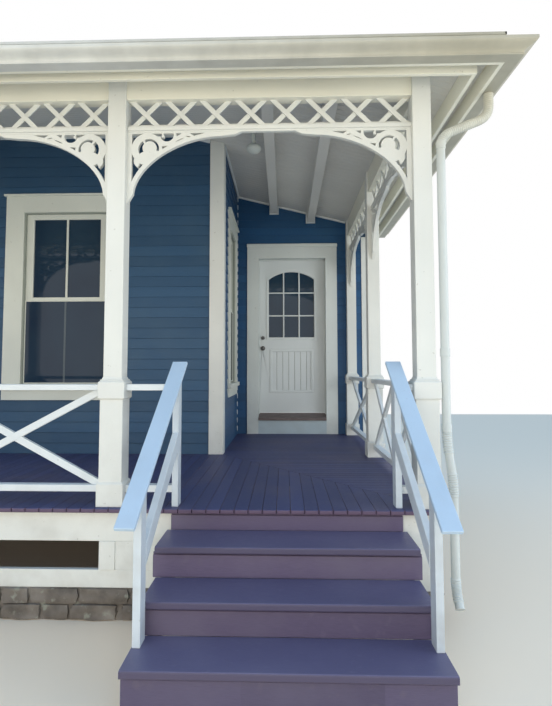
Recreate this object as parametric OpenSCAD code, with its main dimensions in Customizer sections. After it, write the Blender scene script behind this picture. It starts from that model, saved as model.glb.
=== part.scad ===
// Wraparound front porch of a clapboard house: deck on a stone footing, entry
// steps with plain rails, square posts, lattice frieze with sawn scroll
// brackets, crossed balustrades, hipped roof with gutters, and the three house
// walls behind it with their windows and the half-glazed entrance door.
// Millimetres. X runs to the right along the front, Y into the house, Z up.
// Pieces are drawn with X = 0 in the middle of the entry bay and Y = 0 on the front
// edge of the deck, and centred() then moves them over the middle of the whole box.

/* [Plan] */

// clear width of the entry bay between its two posts
entry_w = 1835; // [1500:5:2400]
// clear width of the window bay to its left
window_bay_w = 2307; // [1600:1:3200]
// square of a post's shaft
post_w = 117; // [90:1:150]
// front face of the front posts behind the deck's edge
post_setback = 60; // [30:1:100]
// outer face of the house's front wall
front_wall_y = 2026; // [1700:1:2600]
// front face of the middle side post
side_post_y = 1882; // [1500:1:2400]
// outer face of the back wall with the door
back_wall_y = 3662; // [3200:1:4600]
// outer face of the side wall of the recess
side_wall_x = -531; // [-700:1:-300]
// thickness of the house walls
wall_t = 150; // [100:5:250]
// height at which the walls are cut off
wall_top = 4300; // [4150:10:4800]
// how far the back wall runs past the side posts
back_wall_past = 210; // [185:1:300]

/* [Deck and skirt] */

// top of the deck above the ground
deck_top = 676; // [500:1:900]
// thickness of the deck boards
deck_t = 28; // [20:1:40]
// overhang of every nosing
nosing = 29; // [20:1:40]
// height of the rim board under the deck
rim_h = 180; // [120:5:240]
// thickness of rim and skirt boards
skirt_t = 35; // [20:1:50]
// height of the stone footing
footing_h = 190; // [100:5:300]
// thickness of the stone footing
footing_w = 180; // [120:5:300]
// height of the board at the skirt's foot
skirt_board_h = 107; // [80:1:150]
// width of the skirt's upright boards
stile_w = 100; // [60:5:160]

/* [Steps] */

// middle of the flight across the porch
stair_x = 110; // [-200:5:200]
// clear width left beside the flight in the entry bay, both sides together
beside_flight = 435; // [380:5:700]
// overhang of a tread at each end
tread_over = 23; // [10:1:40]
// extra width of the lowest tread
low_tread_extra = 32; // [0:2:80]
// top of the lowest tread above the ground
rise_4 = 200; // [150:1:210]
// rise of the two middle steps
rise_mid = 173; // [150:1:200]
// going of the steps
tread_run = 276; // [240:1:320]
// thickness of a tread
tread_t = 38; // [25:1:50]
// thickness of a riser board
riser_t = 20; // [15:1:30]
// thickness of a stringer
stringer_t = 40; // [30:1:60]

/* [Stair rails] */

// width of a newel's front face
newel_w = 38; // [30:1:90]
// depth of a newel
newel_d = 89; // [38:1:120]
// middle of each upper newel inside the flight's edge
newel_in = 16; // [0:1:60]
// how far each lower newel stands further out
newel_splay = 31; // [0:1:80]
// front face of the upper newels behind the deck's edge
newel_y = 55; // [30:1:120]
// width of the rail's cap
cap_w = 95; // [60:1:140]
// upright thickness of the rail's cap
cap_t = 26; // [16:1:60]
// top of the cap's upper end
cap_top_z = 1568; // [1400:2:1700]
// the cap's upper end behind the deck's edge
cap_back_y = 156; // [100:1:250]
// length of the cap along the ground
cap_run = 990; // [800:5:1200]
// fall of the rails for each millimetre forward
rail_slope = 0.763; // [0.6:0.001:1]
// upright thickness of the middle rail
mid_rail_t = 108; // [60:1:140]
// top of the middle rail at the upper newel
mid_rail_z = 1128; // [950:1:1250]

/* [Posts] */

// height of the collar's top above the deck
collar_top = 773; // [650:1:950]
// height of the collar
collar_h = 122; // [80:1:160]
// square of the collar
collar_w = 167; // [140:1:220]
// square of the boxed pedestal under the collar
pedestal_w = 143; // [120:1:200]
// square of the plinth
plinth_w = 166; // [140:1:220]
// height of the plinth
plinth_h = 148; // [80:1:220]
// bevel on the collar's edges
collar_bevel = 12; // [4:1:20]

/* [Frieze] */

// underside of the beam above the deck
beam_z = 2590; // [2200:1:2900]
// thickness of the beam
beam_t = 89; // [60:1:140]
// height of the lattice
lattice_h = 166; // [100:1:300]
// face width of a lattice bar
lattice_bar = 31; // [15:1:50]
// thickness of a lattice panel
lattice_t = 22; // [12:1:40]
// height of the rail under the lattice
lattice_rail_h = 28; // [15:1:50]
// thickness of the rail under the lattice
lattice_rail_t = 44; // [22:1:70]
// height of the fillet under that rail
fillet_h = 13; // [5:1:30]
// wished distance between two crossings
lattice_pitch = 230; // [120:1:400]

/* [Scroll brackets] */

// length of a bracket under the rail
bracket_l = 745; // [300:1:900]
// thickness of a bracket
bracket_t = 30; // [18:1:50]
// width of the leg against the post
bracket_leg = 29; // [20:1:60]
// width of the edge left under the rail
bracket_edge = 7; // [4:1:20]
// foot of the arch under the rail
arch_foot = 407; // [200:1:600]
// end of the arch from the post
arch_end = 600; // [250:1:800]
// depth of the arch's end under the rail
arch_depth = 30; // [15:1:80]
// power of the arch's curve, 2 being an ellipse
arch_power = 1.8; // [1.4:0.1:3]
// width of the sawn arch band
arch_band = 28; // [16:1:70]
// length of the slanted cut at the foot
foot_taper = 60; // [20:1:100]
// length of the slanted cut at the tip
tip_taper = 46; // [20:1:100]
// depth of the tip where its cut begins
tip_h = 20; // [8:1:60]
// outer radius of the scroll
scroll_r = 106; // [60:1:140]
// radius of the gap round the eye
eye_gap_r = 68; // [30:1:100]
// radius of the scroll's eye
eye_r = 46; // [20:1:80]
// radius of the tail under the scroll
tail_r = 50; // [20:1:80]
// radius of the notch behind the tail
notch_r = 79; // [30:1:120]
// radius of the round hole in the foliage
leaf_hole_r = 44; // [20:1:60]
// radius of the leaf tip curled into that hole
curl_r = 11; // [6:1:25]

/* [Balustrade] */

// top of the balustrade's rail above the deck
rail_top = 748; // [600:1:950]
// thickness of the top rail
rail_t = 38; // [25:1:60]
// width of the top rail
rail_w = 89; // [60:1:120]
// underside of the bottom rail above the deck
low_rail_z = 80; // [40:1:160]
// height of the bottom rail
low_rail_h = 42; // [30:1:100]
// width of the bottom rail
low_rail_w = 60; // [30:1:100]
// face width of a brace
brace_w = 44; // [20:1:80]
// thickness of a brace
brace_t = 26; // [15:1:50]
// width of the upright between two crosses
mid_stile_w = 40; // [25:1:90]
// wished length of one crossed panel
cross_pitch = 1120; // [600:5:1600]

/* [Roof] */

// underside of the ceiling at the outer post faces, above the deck
ceiling_z = 2769; // [2500:1:3200]
// rise of the ceiling for each millimetre inward
roof_slope = 0.253; // [0.1:0.001:0.6]
// rise of its steeper left end for each millimetre inward
end_slope = 0.853; // [0.2:0.001:1.2]
// thickness of the ceiling boards
ceiling_t = 15; // [10:1:30]
// thickness of the roof
roof_t = 50; // [40:1:200]
// fascia's outer face outside the outer post faces
eave_out = 328; // [200:1:600]
// thickness of the fascia
fascia_t = 24; // [15:1:40]
// underside of the fascia and gutter above the deck
fascia_z = 2586; // [2400:1:2900]
// outer face of the trim board outside the posts
trim_out = 215; // [100:1:300]
// thickness of the trim board
trim_t = 25; // [15:1:40]
// underside of the trim board above the deck
trim_z = 2592; // [2400:1:2900]
// width of a ceiling beam
ceiling_beam_w = 94; // [60:1:140]
// middle of the left ceiling beam
ceiling_beam_x1 = -32; // [-300:1:200]
// underside of the left ceiling beam above the deck
ceiling_beam_z1 = 2922; // [2700:1:3100]
// middle of the right ceiling beam
ceiling_beam_x2 = 453; // [200:1:800]
// underside of the right ceiling beam above the deck
ceiling_beam_z2 = 2798; // [2700:1:3100]

/* [Gutter and downspout] */

// width of the gutter's bottom
gutter_w = 74; // [50:1:120]
// height of the gutter
gutter_h = 76; // [60:1:120]
// how far its front leans out
gutter_lean = 58; // [20:1:80]
// wall of the gutter
gutter_t = 4; // [2:1:6]
// radius of the downspout
spout_r = 28; // [20:1:45]
// the downspout's outlet from the corner post's front face
outlet_y = 10; // [-200:5:400]
// how much thicker its elbows are
elbow_swell = 3; // [1:1:8]
// gap between the downspout and the post's collar
spout_gap = 5; // [2:1:30]
// height of the downspout's foot above the ground
spout_foot = 110; // [50:5:400]
// length of the downspout's outlet down to its first elbow
outlet_drop = 150; // [80:5:300]
// fall of the slanting length back to the post
slant_drop = 120; // [60:5:300]
// start of the bend round the deck's edge, above the deck
bend_above = 404; // [250:2:600]
// fall of that bend
bend_drop = 260; // [150:5:500]
// height of the last straight length's elbow over the foot
heel_up = 90; // [50:5:200]
// how far the foot points forward
toe_out = 70; // [30:5:200]

/* [Windows] */

// left edge of the front window's casing
window_x = -2764; // [-3300:1:-2400]
// width of the front window over its casing
window_w = 1248; // [800:1:1600]
// underside of the front window's apron above the deck
window_z = 533; // [300:1:900]
// top of the front window's head casing above the deck
window_top = 2647; // [2200:1:2900]
// near edge of the side window's casing
side_window_y = 2500; // [2200:1:2700]
// width of the side window over its casing
side_window_w = 975; // [700:1:1100]
// width of the casing boards
casing_w = 150; // [90:1:180]
// thickness of the casing boards
casing_t = 25; // [15:1:40]
// width of the jamb inside the casing
jamb_w = 40; // [20:1:60]
// width of the front window's sash stiles
stile_f = 86; // [40:1:100]
// width of the side window's sash stiles
stile_s = 55; // [40:1:100]
// height of the upper sash's top rail
sash_top = 65; // [40:1:100]
// height of the meeting rails
meeting_rail = 41; // [25:1:60]
// height of the lower sash's bottom rail
sash_bottom = 100; // [60:1:130]
// middle of the meeting rails above the deck
meeting_z = 1560; // [1200:1:1900]
// thickness of a sash
sash_t = 35; // [25:1:50]
// thickness of the window sill
sill_t = 46; // [30:1:60]
// how far the sill stands out of the wall
sill_out = 55; // [30:1:90]
// thickness of the panes
pane_t = 5; // [3:1:8]
// how deep a pane sits in its frame
pane_rebate = 8; // [4:1:14]

/* [Door] */

// left edge of the door leaf
door_x = -236; // [-400:1:0]
// width of the door leaf
door_w = 878; // [750:1:1000]
// height of the door leaf
door_h = 2046; // [1950:1:2150]
// underside of the leaf above the deck
door_z = 264; // [100:1:400]
// thickness of the leaf
door_t = 44; // [35:1:60]
// gap round the leaf
door_gap = 5; // [3:1:8]
// height of the white sill board above the deck
door_sill_h = 176; // [60:1:250]
// width of the door's glass
door_glass_w = 626; // [400:1:700]
// underside of the door's glass above the leaf's foot
door_glass_z = 996; // [700:1:1200]
// height of the leaf over the glass
door_top_rail = 148; // [100:1:250]
// rise of the glass's arched top
door_glass_rise = 107; // [60:1:200]
// width of the boarded panel
panel_w = 556; // [400:1:700]
// underside of the boarded panel above the leaf's foot
panel_z = 279; // [150:1:400]
// height of the boarded panel
panel_h = 552; // [300:1:650]
// depth of the panel's recess
panel_deep = 12; // [5:1:18]
// distance of the lock from the leaf's edge
backset = 48; // [40:1:80]
// height of the knob above the leaf's foot
knob_z = 857; // [700:1:1000]
// distance of the deadbolt over the knob
deadbolt_up = 140; // [100:1:200]
// radius of the knob
knob_r = 27; // [20:1:35]
// radius of the knob's shank
shank_r = 11; // [8:1:15]
// gap between the shank and the leaf's bore
shank_gap = 3; // [1:1:5]
// running gap between the shank and the roses
rose_gap = 0.06; // [0.02:0.02:0.1]
// radius of a hinge's barrel
barrel_r = 6; // [4:1:9]
// height of a hinge
hinge_h = 100; // [70:1:130]

/* [Lamp] */

// the lamp across the porch
lamp_x = -181; // [-450:1:300]
// the lamp behind the deck's edge
lamp_y = 1550; // [800:5:3000]
// length of the lamp's stem
lamp_drop = 134; // [60:2:400]
// radius of the lamp's stem
stem_r = 20; // [10:1:40]
// radius of the lamp's flattened globe
globe_r = 68; // [50:1:150]
// height of the lamp's globe
globe_h = 90; // [50:1:200]

/* [Hidden] */

paint_white = [0.86, 0.86, 0.80];
navy = [0.13, 0.19, 0.31];
maroon = [0.36, 0.28, 0.34];
grey_boards = [0.55, 0.56, 0.58];
shingle = [0.36, 0.33, 0.34];
metal_white = [0.80, 0.79, 0.73];
stone = [0.47, 0.44, 0.40];
bare_wood = [0.47, 0.33, 0.22];
pane = [0.45, 0.55, 0.62, 0.4];
brass = [0.55, 0.47, 0.33];

// seat left between a sloped cut and what rests on it
seat = 0.2;
// taller than the porch, for bodies that are cut off
far = 5000;
// facets of round pieces
round_n = 32;
// thin overlap of a cutter past the face it cuts
cut = 1;

// flight and newels in the entry bay
riser_w = entry_w - beside_flight;
tread_w = riser_w + 2 * tread_over;
newel_off = riser_w / 2 - newel_in;

// lines of the plan
side_x0 = entry_w / 2;
side_x1 = side_x0 + post_w;
left_post_x0 = -side_x0 - post_w;
end_x1 = left_post_x0 - window_bay_w;
end_x0 = end_x1 - post_w;
post_y0 = post_setback;
post_y1 = post_y0 + post_w;
deck_x0 = end_x0 - post_setback;
deck_x1 = side_x1 + post_setback;
rail_line_y = post_y0 + post_w / 2;
rail_line_x = side_x0 + post_w / 2;
end_line_x = end_x0 + post_w / 2;
half_post = post_w / 2;
last_post_y = back_wall_y - post_w;
wall_x1 = side_x1 + back_wall_past;

// bays as [along X or Y, start, clear length, middle line, crossed panels]
entry_bay = ["x", -side_x0, entry_w, rail_line_y, 0];
window_bay = ["x", end_x1, window_bay_w, rail_line_y, round(window_bay_w / cross_pitch)];
side_bay_1 = ["y", post_y1, side_post_y - post_y1, rail_line_x, 2];
side_bay_2 = ["y", side_post_y + post_w, last_post_y - side_post_y - post_w, rail_line_x, 1];
end_bay = ["y", post_y1, front_wall_y - half_post - post_y1, end_line_x, 2];
side_bays = [side_bay_1, side_bay_2, end_bay];
all_bays = [entry_bay, window_bay, side_bay_1, side_bay_2, end_bay];
railed_bays = [window_bay, side_bay_1, side_bay_2, end_bay];

// heights above the ground
deck_under = deck_top - deck_t;
rim_z = deck_under - rim_h;
beam_low = deck_top + beam_z;
lattice_low = beam_low - lattice_h;
lattice_rail_low = lattice_low - lattice_rail_h;
bracket_top = lattice_rail_low - fillet_h;
ceiling_low = deck_top + ceiling_z;
fascia_low = deck_top + fascia_z;
trim_low = deck_top + trim_z;
rail_high = deck_top + rail_top;
low_rail_low = deck_top + low_rail_z;
brace_low = low_rail_low + low_rail_h;
brace_high = rail_high - rail_t;
eave_in = eave_out - fascia_t;

// underside of the ceiling over a point of the plan
function ceiling_at(x, y) =
    ceiling_low + min(
        roof_slope * min(y - post_y0, side_x1 - x),
        end_slope * (x - end_x0 + eave_in) - roof_slope * eave_in
    );

// steps, counted from the top: front edge, tread top
function nose_y(i) = -(i + 1) * tread_run;
function riser_y(i) = i == 0 ? nosing : nose_y(i - 1) + nosing;
tread_z = [rise_4 + 2 * rise_mid, rise_4 + rise_mid, rise_4];
step_tops = [deck_under, tread_z[0] - tread_t, tread_z[1] - tread_t, tread_z[2] - tread_t];
step_feet = [tread_z[0] - tread_t, tread_z[1] - tread_t, tread_z[2] - tread_t, 0];

// stair rails
low_newel_y = nose_y(1) - newel_d - 2;
splay_slope = newel_splay / (newel_y - low_newel_y);
cap_front_y = cap_back_y - cap_run;
function cap_under(y) = cap_top_z - cap_t + rail_slope * (y - cap_back_y);
function rail_off(y) = newel_off + splay_slope * (newel_y - y);

// front window and side window as [along, width, foot, head, stile]
front_window = [window_x, window_w, deck_top + window_z, deck_top + window_top, stile_f];
side_window = [side_window_y, side_window_w, deck_top + window_z, deck_top + window_top, stile_s];
meet_z = deck_top + meeting_z;

// door
leaf_y = back_wall_y + wall_t - door_t;
door_low = deck_top + door_z;
door_high = door_low + door_h;
opening_x0 = door_x - door_gap;
opening_x1 = door_x + door_w + door_gap;
opening_high = door_high + door_gap;
sill_high = deck_top + door_sill_h;
door_jamb = 20;
door_glass_h = door_h - door_glass_z - door_glass_rise - door_top_rail;
hinge_x = door_x + door_w + door_gap;
hinge_y = back_wall_y + wall_t + barrel_r + 1;
knob_x = door_x + backset;

// middle of the whole box, which is the part's origin
knob_reach = 34;
knob_back_y = back_wall_y + wall_t + knob_reach + 0.72 * knob_r;
gutter_out = eave_out + gutter_w + gutter_lean;
origin_x = (end_x0 + side_x1) / 2;
origin_y = (min(cap_front_y, nose_y(2), post_y0 - gutter_out) + knob_back_y) / 2;

module centred()
{
    translate([-origin_x, -origin_y, 0])
        children();
}

// places children, drawn along +X on the line y = 0, in a bay
module in_bay(bay)
{
    if (bay[0] == "x")
        translate([bay[1], bay[3], 0])
            children();
    else
        translate([bay[3], bay[1], 0])
            rotate([0, 0, 90])
                children();
}

// an upright plate from an outline drawn in width and height, centred on y = 0
module plate(t)
{
    translate([0, t / 2, 0])
        rotate([90, 0, 0])
            linear_extrude(t)
                children();
}

// everything below the three ceiling planes, raised by lift
module below_planes(lift)
{
    low = ceiling_low + lift;
    reach = 1000;
    left = end_x0 - reach;
    right = side_x1 + reach;
    front = post_y0 - reach;
    back = back_wall_y + reach;
    eave_z = low - roof_slope * eave_in;
    intersection()
    {
        translate([left, 0, 0])
            rotate([90, 0, 90])
                linear_extrude(right - left)
                    polygon([
                        [front, 0],
                        [back, 0],
                        [back, low + roof_slope * (back - post_y0)],
                        [front, low - roof_slope * reach]
                    ]);
        translate([0, back, 0])
            rotate([90, 0, 0])
                linear_extrude(back - front)
                    polygon([
                        [left, 0],
                        [right, 0],
                        [right, low - roof_slope * reach],
                        [left, low + roof_slope * (side_x1 - left)]
                    ]);
        translate([0, back, 0])
            rotate([90, 0, 0])
                linear_extrude(back - front)
                    polygon([
                        [left, 0],
                        [right, 0],
                        [right, eave_z + end_slope * (right - end_x0 + eave_in)],
                        [left, eave_z - end_slope * (reach - eave_in)]
                    ]);
    }
}

// the plan of the porch out to a distance outside the posts
module porch_plan(out)
{
    polygon([
        [end_x0 - out, post_y0 - out],
        [side_x1 + out, post_y0 - out],
        [side_x1 + out, back_wall_y],
        [side_wall_x, back_wall_y],
        [side_wall_x, front_wall_y],
        [end_x0 - out, front_wall_y]
    ]);
}

module sloped_layer(from, to)
{
    difference()
    {
        intersection()
        {
            linear_extrude(far)
                porch_plan(eave_in);
            below_planes(to);
        }
        below_planes(from);
    }
}

// sweeps a profile of distance outside the posts and height along all eaves
module along_eaves(out)
{
    intersection()
    {
        translate([end_x0 - out, post_y0, 0])
            rotate([90, 0, 90])
                linear_extrude(side_x1 - end_x0 + 2 * out)
                    mirror([1, 0])
                        children();
        linear_extrude(far)
            polygon([
                [end_x0, post_y0],
                [end_x0 - out, post_y0 - out],
                [side_x1 + out, post_y0 - out],
                [side_x1, post_y0]
            ]);
    }
    intersection()
    {
        translate([side_x1, back_wall_y, 0])
            rotate([90, 0, 0])
                linear_extrude(back_wall_y - post_y0 + out)
                    children();
        linear_extrude(far)
            polygon([
                [side_x1, post_y0],
                [side_x1 + out, post_y0 - out],
                [side_x1 + out, back_wall_y],
                [side_x1, back_wall_y]
            ]);
    }
    intersection()
    {
        translate([end_x0, front_wall_y, 0])
            rotate([90, 0, 0])
                linear_extrude(front_wall_y - post_y0 + out)
                    mirror([1, 0])
                        children();
        linear_extrude(far)
            polygon([
                [end_x0, post_y0],
                [end_x0 - out, post_y0 - out],
                [end_x0 - out, front_wall_y],
                [end_x0, front_wall_y]
            ]);
    }
}

// an L of boards round front, side and left end, set in from the deck's edge
module skirt_ring(in, t, z, h)
{
    translate([0, 0, z])
        linear_extrude(h)
            difference()
            {
                polygon([
                    [deck_x0 + in, in],
                    [deck_x1 - in, in],
                    [deck_x1 - in, back_wall_y],
                    [deck_x1 - in - t, back_wall_y],
                    [deck_x1 - in - t, in + t],
                    [deck_x0 + in + t, in + t],
                    [deck_x0 + in + t, front_wall_y],
                    [deck_x0 + in, front_wall_y]
                ]);
            }
}

module stone_footing()
{
    color(stone)
        centred()
        skirt_ring(nosing + riser_t, footing_w, 0, footing_h);
}

module skirt_boards()
{
    color(paint_white)
        centred()
    {
        skirt_ring(nosing + riser_t, skirt_t, rim_z, rim_h);
        skirt_ring(nosing + riser_t, skirt_t, footing_h, skirt_board_h);
    }
}

module skirt_stile(x, y, along, w)
{
    z = footing_h + skirt_board_h;
    translate([x, y, z])
        cube(along == "x" ? [w, skirt_t, rim_z - z] : [skirt_t, w, rim_z - z]);
}

module skirt_stiles()
{
    face = nosing + riser_t;
    panel_l = stair_x - riser_w / 2;
    panel_r = stair_x + riser_w / 2;
    color(paint_white)
        centred()
    {
        skirt_stile(deck_x0 + face, face, "x", stile_w);
        skirt_stile((end_x1 + left_post_x0 - stile_w) / 2, face, "x", stile_w);
        skirt_stile(left_post_x0, face, "x", panel_l - left_post_x0);
        skirt_stile(panel_r, face, "x", deck_x1 - face - panel_r);
        for (y = [side_post_y, back_wall_y - stile_w])
            skirt_stile(deck_x1 - face - skirt_t, y, "y", stile_w);
        skirt_stile(deck_x0 + face, front_wall_y - stile_w, "y", stile_w);
    }
}

module deck()
{
    color(maroon)
        centred()
        translate([0, 0, deck_under])
            linear_extrude(deck_t)
                polygon([
                    [deck_x0, 0],
                    [deck_x1, 0],
                    [deck_x1, back_wall_y],
                    [side_wall_x, back_wall_y],
                    [side_wall_x, front_wall_y],
                    [deck_x0, front_wall_y]
                ]);
}

// saw-tooth outline of a stringer in depth and height
module stringer_outline()
{
    back = nosing + riser_t;
    polygon([
        [riser_y(3) + riser_t, 0],
        [riser_y(3) + riser_t, tread_z[2] - tread_t],
        [riser_y(2) + riser_t, tread_z[2] - tread_t],
        [riser_y(2) + riser_t, tread_z[1] - tread_t],
        [riser_y(1) + riser_t, tread_z[1] - tread_t],
        [riser_y(1) + riser_t, tread_z[0] - tread_t],
        [back, tread_z[0] - tread_t],
        [back, tread_z[0] - tread_t - rise_mid],
        [riser_y(3) + riser_t + tread_run, 0]
    ]);
}

module stair_stringers()
{
    side = riser_w / 2 - stringer_t;
    color(paint_white)
        centred()
        for (x = [-side - stringer_t, -stringer_t / 2, side])
            translate([stair_x + x, 0, 0])
                rotate([90, 0, 90])
                    linear_extrude(stringer_t)
                        stringer_outline();
}

module stair_risers()
{
    color(maroon)
        centred()
        for (i = [0:3])
            translate([stair_x - riser_w / 2, riser_y(i), step_feet[i]])
                cube([riser_w, riser_t, step_tops[i] - step_feet[i]]);
}

// a tread with a rounded front edge
module tread(w, depth)
{
    r = tread_t / 4;
    translate([-w / 2, 0, 0])
        rotate([90, 0, 90])
            linear_extrude(w)
                union()
                {
                    translate([r, 0])
                        square([depth - r, tread_t]);
                    for (y = [r, tread_t - r])
                        translate([r, y])
                            circle(r, $fn = round_n);
                    translate([0, r])
                        square([2 * r, tread_t - 2 * r]);
                }
}

module stair_treads()
{
    color(maroon)
        centred()
        for (i = [0:2])
            translate([stair_x, nose_y(i), tread_z[i] - tread_t])
                tread(tread_w + (i == 2 ? low_tread_extra : 0), riser_y(i) - nose_y(i));
}

// a newel cut off along the underside of the cap, drawn at its middle
module newel(y, foot)
{
    translate([-newel_w / 2, 0, 0])
        rotate([90, 0, 90])
            linear_extrude(newel_w)
                polygon([
                    [y, foot],
                    [y + newel_d, foot],
                    [y + newel_d, cap_under(y + newel_d) - seat],
                    [y, cap_under(y) - seat]
                ]);
}

module stair_newels()
{
    color(paint_white)
        centred()
        for (side = [-1, 1])
        {
            translate([stair_x + side * newel_off, 0, 0])
                newel(newel_y, deck_top);
            translate([stair_x + side * (newel_off + newel_splay), 0, 0])
                newel(low_newel_y, rise_4);
        }
}

// a bar that falls forward along the stair rails
module falling_bar(side, y_back, run, top, w, t)
{
    translate([stair_x + side * rail_off(y_back), y_back, top])
        multmatrix([[1, -side * splay_slope, 0, 0], [0, 1, 0, 0], [0, rail_slope, 1, 0], [0, 0, 0, 1]])
            translate([-w / 2, -run, -t])
                cube([w, run, t]);
}

module stair_handrails()
{
    mid_run = newel_y - low_newel_y - newel_d;
    color(paint_white)
        centred()
        for (side = [-1, 1])
        {
            falling_bar(side, cap_back_y, cap_run, cap_top_z, cap_w, cap_t);
            falling_bar(side, newel_y, mid_run, mid_rail_z, newel_w, mid_rail_t);
        }
}

// half widths of a post with plinth, pedestal and collar, from the deck up
post_profile = [
    [plinth_w / 2, 0],
    [plinth_w / 2, plinth_h - collar_bevel],
    [pedestal_w / 2, plinth_h],
    [pedestal_w / 2, collar_top - collar_h],
    [collar_w / 2, collar_top - collar_h + collar_bevel],
    [collar_w / 2, collar_top - collar_bevel],
    [collar_w / 2 - collar_bevel, collar_top],
    [post_w / 2, collar_top],
    [post_w / 2, ceiling_z + 2 * collar_w]
];

module post_outline()
{
    last = len(post_profile) - 1;
    polygon(concat(
        post_profile,
        [for (i = [last:-1:0]) [-post_profile[i][0], post_profile[i][1]]]
    ));
}

// one post up to the ceiling: its outline worked on both pairs of faces
module post(x, y)
{
    intersection()
    {
        translate([x, y, deck_top])
            plate(2 * collar_w)
                post_outline();
        translate([x, y, deck_top])
            rotate([0, 0, 90])
                plate(2 * collar_w)
                    post_outline();
        below_planes(-seat);
    }
}

module front_posts()
{
    color(paint_white)
        centred()
        for (x = [end_line_x, left_post_x0 + half_post, rail_line_x])
            post(x, rail_line_y);
}

module side_posts()
{
    color(paint_white)
        centred()
    {
        post(rail_line_x, side_post_y + half_post);
        intersection()
        {
            post(rail_line_x, last_post_y + half_post);
            cube([far, back_wall_y, far]);
        }
        intersection()
        {
            post(end_line_x, front_wall_y);
            translate([-far, 0, 0])
                cube([far, front_wall_y, far]);
        }
    }
}

module frieze_beams()
{
    color(paint_white)
        centred()
        intersection()
        {
            for (bay = all_bays)
                in_bay(bay)
                    translate([0, -beam_t / 2, beam_low])
                        cube([bay[2], beam_t, far]);
            below_planes(-seat);
        }
}

// crossed bars at 45 degrees between the beam and their rail
module lattice_outline(length)
{
    count = round(length / lattice_pitch);
    pitch = length / count;
    intersection()
    {
        square([length, lattice_h]);
        for (i = [0:count - 1])
            translate([(i + 0.5) * pitch, lattice_h / 2])
                for (turn = [-45, 45])
                    rotate(turn)
                        square([2 * lattice_h, lattice_bar], center = true);
    }
}

module lattice_panel(length)
{
    translate([0, 0, lattice_low])
        plate(lattice_t)
            lattice_outline(length);
    translate([0, 0, lattice_low - lattice_rail_h])
        plate(lattice_rail_t)
            square([length, lattice_rail_h]);
    translate([0, 0, bracket_top])
        plate(bracket_t)
            square([length, fillet_h]);
}

module lattice_front()
{
    color(paint_white)
        centred()
        for (bay = [entry_bay, window_bay])
            in_bay(bay)
                lattice_panel(bay[2]);
}

module lattice_sides()
{
    color(paint_white)
        centred()
        for (bay = side_bays)
            in_bay(bay)
                lattice_panel(bay[2]);
}

// a point of the arch's lower edge, from its foot at 0 to its end at 90 degrees
arch_x0 = bracket_leg + 11;
function arch_at(a) = [
    arch_end - (arch_end - arch_x0) * pow(cos(a), 2 / arch_power),
    -arch_foot + (arch_foot - arch_depth) * pow(sin(a), 2 / arch_power)
];

// the same point moved square to the edge by the width of the band
function band_at(a) =
    let (d = arch_at(a + 0.5) - arch_at(a - 0.5))
    arch_at(a) + arch_band * [-d[1], d[0]] / norm(d);

arch_steps = [for (a = [2:4:86]) a];

// the corner between post and rail, down to the arch's lower edge
module spandrel()
{
    polygon(concat(
        [[0, 0], [0, -arch_foot - foot_taper], [4, -arch_foot - foot_taper], arch_at(0)],
        [for (a = arch_steps) arch_at(a)],
        [arch_at(90), [bracket_l - tip_taper, -tip_h], [bracket_l, 0]]
    ));
}

// the part of it that is sawn through, above the arch's band
module sawn_field()
{
    intersection()
    {
        polygon(concat(
            [[bracket_leg, -bracket_edge], [bracket_leg, -arch_foot]],
            [for (a = arch_steps) band_at(a)],
            [[arch_end, -arch_depth + arch_band], [arch_end, -bracket_edge]]
        ));
        translate([bracket_leg, -arch_foot])
            square([arch_end, arch_foot - bracket_edge]);
    }
}

// a leaf-shaped hole: where two circles cross
module leaf_slit(at, turn, length, width)
{
    r = (length * length + width * width) / (4 * width);
    translate(at)
        rotate(turn)
            intersection()
            {
                translate([0, r - width / 2])
                    circle(r, $fn = 64);
                translate([0, width / 2 - r])
                    circle(r, $fn = 64);
            }
}

// the scroll runs a little into leg and rail
scroll_c = [bracket_leg + scroll_r - 3, -bracket_edge - scroll_r + 3];
scroll_end = scroll_c[0] + 93;

// round the scroll and its tail
module scroll_gaps()
{
    tail_c = scroll_c + [-40, -77];
    notch_c = scroll_c + [15, -139];
    difference()
    {
        translate([0, -arch_foot])
            square([scroll_end, arch_foot]);
        translate(scroll_c)
            circle(scroll_r, $fn = 96);
        difference()
        {
            union()
            {
                translate(tail_c)
                    circle(tail_r, $fn = 48);
                translate(tail_c - [0, tail_r])
                    square([90, 2 * tail_r]);
            }
            translate(notch_c)
                circle(notch_r, $fn = 72);
        }
        translate(scroll_c + [60, -86])
            square([90, 60]);
        translate(scroll_c + [55, -30])
            square([40, 113]);
    }
}

// the gap round the eye, open from the right over the top to the lower left
module eye_gap()
{
    translate(scroll_c + [7, 1])
        difference()
        {
            circle(eye_gap_r, $fn = 72);
            translate([6, 6])
                circle(eye_r, $fn = 60);
            polygon([[0, 0], [140, -30], [140, -140], [-140, -140], [-140, -75]]);
            rotate(122)
                translate([0, -7])
                    square([eye_gap_r + cut, 14]);
        }
}

// outlines sawn out between the leaves, from the scroll's middle
leaf_notch = [[93, 18], [132, 20], [98, -2]];
leaf_nick = [[186, 103], [222, 103], [191, 82]];
leaf_tip = [[272, 106], [400, 110], [304, 84]];

// between the leaves on the right of the scroll
module leaf_gaps()
{
    hole_c = scroll_c + [127, 93];
    difference()
    {
        translate(hole_c)
            circle(leaf_hole_r, $fn = 60);
        translate(hole_c + [-29, -6])
            circle(curl_r, $fn = 32);
        translate(hole_c + [-leaf_hole_r, -6])
            square([19, leaf_hole_r]);
    }
    translate(scroll_c)
        polygon(leaf_notch);
    translate(scroll_c)
        polygon(leaf_nick);
    leaf_slit(scroll_c + [210, 59], 24, 66, 7);
    leaf_slit(scroll_c + [268, 80], -10, 42, 8);
    translate(scroll_c)
        polygon(leaf_tip);
}

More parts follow.
